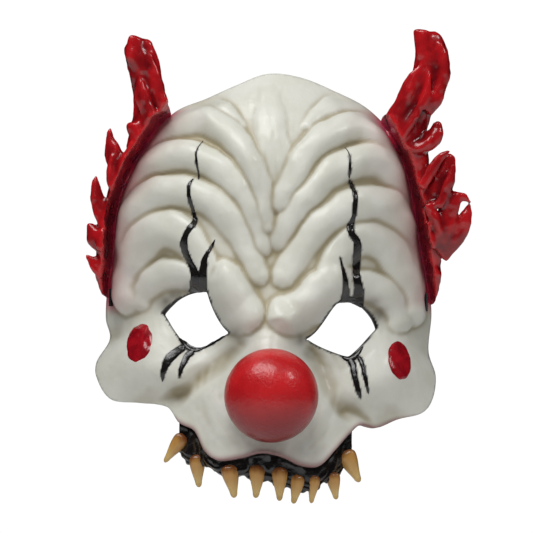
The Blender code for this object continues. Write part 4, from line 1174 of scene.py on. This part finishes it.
def makeGum():
    rows = np.array(gum["edge"])
    across = np.linspace(rows[0, 0], rows[-1, 0], gum["columns"])
    low = np.interp(across, rows[:, 0], rows[:, 1]) * face["halfHigh"]
    lipHeight, lipDepth = lipAt(across)
    for row in teeth["rows"]:
        reach = (across - row[0]) * face["halfWide"] / (row[4] * face["halfWide"] * 1.15)
        low = low - gum["webDrop"] * np.exp(-reach ** 4)
    high = lipHeight + gum["tuck"]
    front = lipDepth + face["wall"] + 0.0003
    turn = evenTurns(gum["around"])
    rings = []
    for index in range(gum["columns"]):
        centre = np.array([(high[index] + low[index]) / 2, front[index] + gum["thickness"] / 2])
        half = np.array([(high[index] - low[index]) / 2, gum["thickness"] / 2])
        square = 0.55
        climb = np.sign(np.sin(turn)) * np.abs(np.sin(turn)) ** square * half[0] + centre[0]
        depth = -np.sign(np.cos(turn)) * np.abs(np.cos(turn)) ** square * half[1] + centre[1]
        rings.append(np.c_[np.full_like(turn, across[index] * face["halfWide"]), depth, climb])
    points = np.vstack(rings)
    faces = gridFaces(gum["columns"], gum["around"], closed=True)
    faces.append(tuple(range(gum["around"]))[::-1])
    faces.append(tuple(len(points) - gum["around"] + index for index in range(gum["around"])))
    piece = meshPiece("gumBand", points, faces, [gumMaterial()])
    cleanMesh(piece)
    places = meshPlaces(piece)
    lip = np.interp(places[:, 0], across * face["halfWide"], high)
    below = lip - places[:, 2] + 0.0012 * latticeNoise(places, 0.007, 51)
    ridges = np.sin(below / 0.00042)
    bumps = latticeNoise(places, 0.0030, 52)
    lift = gum["ridgeDepth"] * (0.35 * ridges + 0.6 * bumps - 0.4)
    setPlaces(piece, places + meshNormals(piece) * lift[:, None])
    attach(piece, "root")
    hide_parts("gum")


makeGum()
print("gum is laid")


def toothMaterial():
    material, tree, shader = newMaterial("ochreTooth", 0.28, coat=0.35)
    height = addAttribute(tree, "rise")
    streak = addNoise(tree, 160.0, 4.0, (1.0, 1.0, 0.25))
    rise = addMath(tree, "ADD", height, addMath(tree, "MULTIPLY", streak, 0.5))
    body = addRange(tree, rise, 0.40, 0.95)
    colour = addMix(tree, body, (0.66, 0.45, 0.16), (0.52, 0.27, 0.07))
    root = addRange(tree, rise, 0.92, 1.22)
    colour = addMix(tree, root, colour, (0.20, 0.065, 0.018))
    tip = addRange(tree, rise, 0.20, 0.48, 1.0, 0.0)
    colour = addMix(tree, tip, colour, (0.50, 0.31, 0.085))
    tree.links.new(colour, shader.inputs["Base Color"])
    addBump(tree, shader, addNoise(tree, 300.0, 3.0, (1.0, 1.0, 0.3)), 0.0003, 0.5)
    return material


def makeTooth(number, row, material):
    across, up, tipAcross, tipUp, width, point = row
    _, lipDepth = lipAt(np.array([across]))
    depth = float(lipDepth[0]) + face["wall"] + teeth["sink"]
    neck = np.array([across * face["halfWide"], depth, up * face["halfHigh"]])
    tip = np.array([tipAcross * face["halfWide"], depth, tipUp * face["halfHigh"]])
    along = neck - tip
    length = np.linalg.norm(along)
    along = along / length
    length = length + teeth["rootLength"]
    side = np.cross(along, (0.0, 1.0, 0.0))
    side = side / np.linalg.norm(side)
    backward = np.array([0.0, 1.0, 0.0])
    steps = 0.5 - 0.5 * np.cos(np.linspace(0.0, math.pi, teeth["rings"]))
    body = 0.42 + 0.58 * smoothStep(steps / 0.80) - 0.16 * point * (1.0 - steps) ** 2
    tipRound = np.sqrt(np.clip(1.0 - (1.0 - np.clip(steps / 0.11, 0.0, 1.0)) ** 2, 0.0, 1.0))
    rootRound = np.sqrt(np.clip(1.0 - (np.clip((steps - 0.80) / 0.20, 0.0, 1.0)) ** 2.4, 0.0, 1.0))
    profile = width * face["halfWide"] * body * tipRound * rootRound + 1e-6
    turn = evenTurns(teeth["sides"])
    rng = np.random.default_rng(60 + number)
    phase = rng.uniform(0, 6.28, 2)
    bend = rng.uniform(-0.4, 0.4)
    rings = []
    for step, size in zip(steps, profile):
        facets = 1.0 + 0.03 * np.cos(4 * turn + phase[0]) + 0.02 * np.cos(7 * turn + phase[1])
        middle = tip + along * step * length + side * bend * 0.001 * math.sin(math.pi * step)
        spot = np.outer(size * facets * np.cos(turn), side)
        spot = spot + np.outer(size * facets * np.sin(turn) * teeth["flatness"], backward)
        rings.append(middle + spot)
    points = np.vstack(rings)
    count = teeth["sides"]
    faces = gridFaces(teeth["rings"], count, closed=True)
    piece = meshPiece("peg" + str(number), points, faces, [material])
    cleanMesh(piece, merge=0.000004)
    piece.data.shade_smooth()
    places = meshPlaces(piece)
    setAttribute(piece, "rise", np.clip((places - tip) @ along / length, 0.0, 1.0))
    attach(piece, "root")
    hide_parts("tooth_" + str(number))


toothFinish = toothMaterial()
for number, row in enumerate(teeth["rows"], start=1):
    makeTooth(number, row, toothFinish)
print("teeth are set")


def inkMaterial():
    return mottledMaterial("blackPaint", 0.2, 0.4, (200.0, 3.0), None,
                           ((0.004, 0.004, 0.004), (0.016, 0.014, 0.013)), (500.0, 4.0, 0.0004, 0.8))


def makeStroke(name, rows, seed, material):
    # A thin crowned sheet of paint that follows the skin
    spine, width = strokeSpine(rows)
    count = len(spine)
    along = np.gradient(spine, axis=0)
    along = unitRows(along)
    side = np.c_[-along[:, 1], along[:, 0]]
    columns = max(5, int(width.max() / 0.0006)) | 1
    shares = np.linspace(-1.0, 1.0, columns)
    places, rise = [], []
    for share in shares:
        ragged = latticeNoise(np.c_[spine, np.full(count, share * 0.01 + seed)], 0.0016, 71) * 0.00028
        offset = share * width / 2 + ragged * abs(share)
        places.append(spine + side * offset[:, None])
        rise.append(np.full(count, paint["crown"] * (1.0 - share ** 4)))
    places = np.vstack(places) / shareSize
    lift = paint["lift"] * (np.concatenate(rise) / paint["crown"]) + np.concatenate(rise) * 0.5
    lift = lift - 0.00012 * (np.concatenate(rise) <= 0.0)
    points = onSkin(places[:, 0], places[:, 1], lift)
    piece = meshPiece(name, points, gridFaces(columns, count), [material])
    cleanMesh(piece, recalculate=False, facesFront=True)
    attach(piece, "root")


inkFinish = inkMaterial()
for seed, (name, rows) in enumerate(paint["strokes"].items()):
    makeStroke(name, rows, seed * 0.1, inkFinish)
print("black lines are painted")


# Red cheek spots, raised like thick paint

spots = {
    "rise": 0.0008,
    "rings": 26,
    "sides": 96,
    # centre, half width and half height in metres, lean in degrees
    "rows": {
        "cheekSpotLeft": (-0.801, -0.223, 0.0074, 0.0110, -12),
        "cheekSpotRight": (0.817, -0.314, 0.0066, 0.0110, 10),
    },
}


def spotMaterial():
    return mottledMaterial("redSpot", 0.25, 0.5, (120.0, 4.0), (0.35, 0.65),
                           ((0.42, 0.006, 0.014), (0.26, 0.003, 0.009)), (380.0, 4.0, 0.0005, 0.8))


def makeSpot(name, row, seed, material):
    across, up, wide, high, lean = row
    turn = evenTurns(spots["sides"])
    ragged = 1.0 + 0.05 * latticeNoise(np.c_[np.cos(turn), np.sin(turn), turn * 0 + seed], 0.28, 81)
    tilt = math.radians(lean)
    places, lifts = [], []
    for share in np.linspace(0.002, 1.0, spots["rings"]):
        side = share * wide * ragged * np.cos(turn)
        climb = share * high * ragged * np.sin(turn)
        flat = np.c_[side * math.cos(tilt) - climb * math.sin(tilt),
                     side * math.sin(tilt) + climb * math.cos(tilt)]
        places.append(flat / shareSize + (across, up))
        rough = latticeNoise(np.c_[flat, flat[:, 0] * 0 + seed], 0.0024, 82)
        edge = 1.0 - share ** 8
        lifts.append(spots["rise"] * edge * (0.65 + 0.35 * rough) - 0.0002 * (1 - edge))
    places = np.vstack(places)
    points = onSkin(places[:, 0], places[:, 1], np.concatenate(lifts))
    faces = [tuple(reversed(corners)) for corners in gridFaces(spots["rings"], spots["sides"], closed=True)]
    faces.append(tuple(range(spots["sides"])))
    piece = meshPiece(name, points, faces, [material])
    cleanMesh(piece, facesFront=True)
    piece.data.shade_smooth()
    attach(piece, "root")


spotFinish = spotMaterial()
for seed, (name, row) in enumerate(spots["rows"].items()):
    makeSpot(name, row, seed * 0.37, spotFinish)
print("cheek spots are on")


# The elastic strap: a ribbed band that Geometry Nodes sweep along its path

strapBand = {
    "width": 0.010,
    "thickness": 0.0012,
    "rise": 0.045,              # back of the strap above its slots
    "headDepth": 0.165,         # brow to the back of the strap
    "steps": 32,
    "play": 0.0006,
    "stopLength": 0.008,        # folded end outside each slot
    "slotInset": 0.009,
    "inset": 0.010,             # strap inside the tab
    "ribs": 9,
    "ribHeight": 0.00014,
    "spacing": 0.0012,
    "outlineCount": 90,         # points round its section
    "threads": 330.0,           # of the weave, per metre of its coordinate
    "endPoints": 5,             # of each end, which stay sharp
}


def wallAt(side, depth, height):
    # How far out the skin reaches beside the head at a depth and a height
    shares = np.linspace(0.70, 1.03, 60)
    line = skinPlace(side * shares, np.full(60, height / face["halfHigh"]))
    return side * float(np.interp(depth, line[:, 1], np.abs(line[:, 0])))


def strapEnd(side, slot):
    # From the folded stop outside, in through the slot and back along the tab
    stand = strapBand["thickness"] / 2 + strapBand["play"]
    inset = strapBand["inset"]
    stopDepth = slot[1] - strapBand["stopLength"]
    front = wallAt(side, stopDepth, slot[2]) + side * stand
    bend = wallAt(side, slot[1] - 2 * stand, slot[2]) + side * stand
    wall = wallAt(side, slot[1], slot[2])
    return [
        (front, stopDepth, slot[2]),
        (bend, slot[1] - stand, slot[2]),
        (wall + side * 0.2 * stand, slot[1], slot[2]),
        (wall - side * 0.6 * inset, slot[1], slot[2]),
        (wall - side * 0.9 * inset, slot[1] + 0.2 * inset, slot[2]),
        (wall - side * inset, slot[1] + 0.6 * inset, slot[2]),
    ]


def strapPath():
    ends = []
    for side in (-1, 1):
        half = rimLine[rimLine[:, 0] * side > 0.9]
        tab = half[np.argmax(half[:, 2])]
        depth = tab[2] * face["sideDepth"] - strapBand["slotInset"]
        ends.append(strapEnd(side, (tab[0] * face["halfWide"], depth, tab[1] * face["halfHigh"])))
    start, finish = np.array(ends[0][-1]), np.array(ends[1][-1])
    middle = []
    for index in range(1, strapBand["steps"]):
        angle = math.pi * index / strapBand["steps"]
        spot = start + (finish - start) * (0.5 - 0.5 * math.cos(angle))
        spot[1] += math.sin(angle) ** 0.8 * (strapBand["headDepth"] - start[1])
        spot[2] += strapBand["rise"] * math.sin(angle) ** 2
        middle.append(tuple(spot))
    return ends[0] + middle + ends[1][::-1]


def strapMaterial():
    material, tree, shader = newMaterial("blackElastic", 0.85)
    along = addMath(tree, "MULTIPLY", addAttribute(tree, "alongBand"), strapBand["threads"])
    across = addMath(tree, "MULTIPLY", addAttribute(tree, "acrossBand"), 40.0)
    spot = addLinked(tree, "ShaderNodeCombineXYZ", {"X": along, "Y": across})["Vector"]
    inputs = {"Vector": spot, "Scale": 1.0, "Distortion": 0.6}
    weave = addLinked(tree, "ShaderNodeTexWave", inputs, wave_type="BANDS", bands_direction="X")
    thread = addMath(tree, "ADD", weave["Fac"], addNoise(tree, 900.0, 3.0))
    level = addRange(tree, thread, 0.2, 1.6)
    colour = addMix(tree, level, (0.008, 0.008, 0.009), (0.040, 0.040, 0.042))
    tree.links.new(colour, shader.inputs["Base Color"])
    addBump(tree, shader, thread, 0.0002, 0.7)
    return material


def strapNodes(material):
    # The rail and the sizes go in, and the swept band comes out
    tree = bpy.data.node_groups.new("strapSweep", "GeometryNodeTree")
    newSocket = tree.interface.new_socket
    newSocket("Rail", in_out="INPUT", socket_type="NodeSocketGeometry")
    sizes = {name: newSocket(name, in_out="INPUT", socket_type="NodeSocketFloat")
             for name in ("Width", "Thickness", "Ribs", "Rib Height", "Spacing")}
    newSocket("Band", in_out="OUTPUT", socket_type="NodeSocketGeometry")
    source = addNode(tree, "NodeGroupInput").outputs
    result = addNode(tree, "NodeGroupOutput").inputs

    # The rail as an even curve that stands upright
    rail = addLinked(tree, "GeometryNodeMeshToCurve", {"Mesh": source["Rail"]})["Curve"]
    inputs = {"Curve": rail, "Length": source["Spacing"]}
    rail = addLinked(tree, "GeometryNodeResampleCurve", inputs, mode="LENGTH")["Curve"]
    rail = addLinked(tree, "GeometryNodeSetCurveNormal", {"Curve": rail}, mode="Z_UP")["Curve"]
    length = addNode(tree, "GeometryNodeSplineParameter").outputs["Length"]
    inputs = {"Geometry": rail, "Name": "alongBand", "Value": length}
    rail = addLinked(tree, "GeometryNodeStoreNamedAttribute", inputs, data_type="FLOAT")["Geometry"]

    # The section with its ribs
    inputs = {"Width": source["Thickness"], "Height": source["Width"]}
    outline = addLinked(tree, "GeometryNodeCurvePrimitiveQuadrilateral", inputs)["Curve"]
    inputs = {"Curve": outline, "Count": strapBand["outlineCount"]}
    outline = addLinked(tree, "GeometryNodeResampleCurve", inputs)["Curve"]
    place = addNode(tree, "GeometryNodeInputPosition").outputs["Position"]
    split = addLinked(tree, "ShaderNodeSeparateXYZ", {"Vector": place})
    turns = addMath(tree, "DIVIDE", split["Y"], source["Width"])
    turns = addMath(tree, "MULTIPLY", turns, source["Ribs"])
    wave = addMath(tree, "COSINE", addMath(tree, "MULTIPLY", turns, 2 * math.pi))
    lift = addMath(tree, "MULTIPLY", wave, source["Rib Height"])
    lift = addMath(tree, "MULTIPLY", lift, addMath(tree, "SIGN", split["X"]))
    offset = addLinked(tree, "ShaderNodeCombineXYZ", {"X": lift})["Vector"]
    inputs = {"Geometry": outline, "Offset": offset}
    outline = addLinked(tree, "GeometryNodeSetPosition", inputs)["Geometry"]
    inputs = {"Geometry": outline, "Name": "acrossBand", "Value": split["Y"]}
    outline = addLinked(tree, "GeometryNodeStoreNamedAttribute", inputs, data_type="FLOAT")["Geometry"]

    inputs = {"Curve": rail, "Profile Curve": outline, "Fill Caps": True}
    band = addLinked(tree, "GeometryNodeCurveToMesh", inputs)["Mesh"]
    band = addLinked(tree, "GeometryNodeRealizeInstances", {"Geometry": band})["Geometry"]
    inputs = {"Geometry": band, "Material": material}
    band = addLinked(tree, "GeometryNodeSetMaterial", inputs)["Geometry"]
    tree.links.new(band, result["Band"])
    return tree, sizes


def makeStrap():
    points = strapPath()
    sharp = strapBand["endPoints"]
    smooth = throughPoints(points[sharp:-sharp], 6)
    points = points[:sharp] + [tuple(point) for point in smooth] + points[-sharp:]
    mesh = bpy.data.meshes.new("strapBand")
    edges = [(index, index + 1) for index in range(len(points) - 1)]
    mesh.from_pydata([tuple(map(float, point)) for point in points], edges, [])
    piece = bpy.data.objects.new("strapBand", mesh)
    scene.collection.objects.link(piece)
    tree, sizes = strapNodes(strapMaterial())
    sweep = piece.modifiers.new("sweep", "NODES")
    sweep.node_group = tree
    settings = {"Width": strapBand["width"], "Thickness": strapBand["thickness"],
                "Ribs": float(strapBand["ribs"]), "Rib Height": strapBand["ribHeight"],
                "Spacing": strapBand["spacing"]}
    for name, value in settings.items():
        sweep[sizes[name].identifier] = value
    finishModifiers(piece)
    cleanMesh(piece, merge=0.000002)
    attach(piece, "root")
    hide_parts("elastic_strap")


makeStrap()
print("strap is swept")
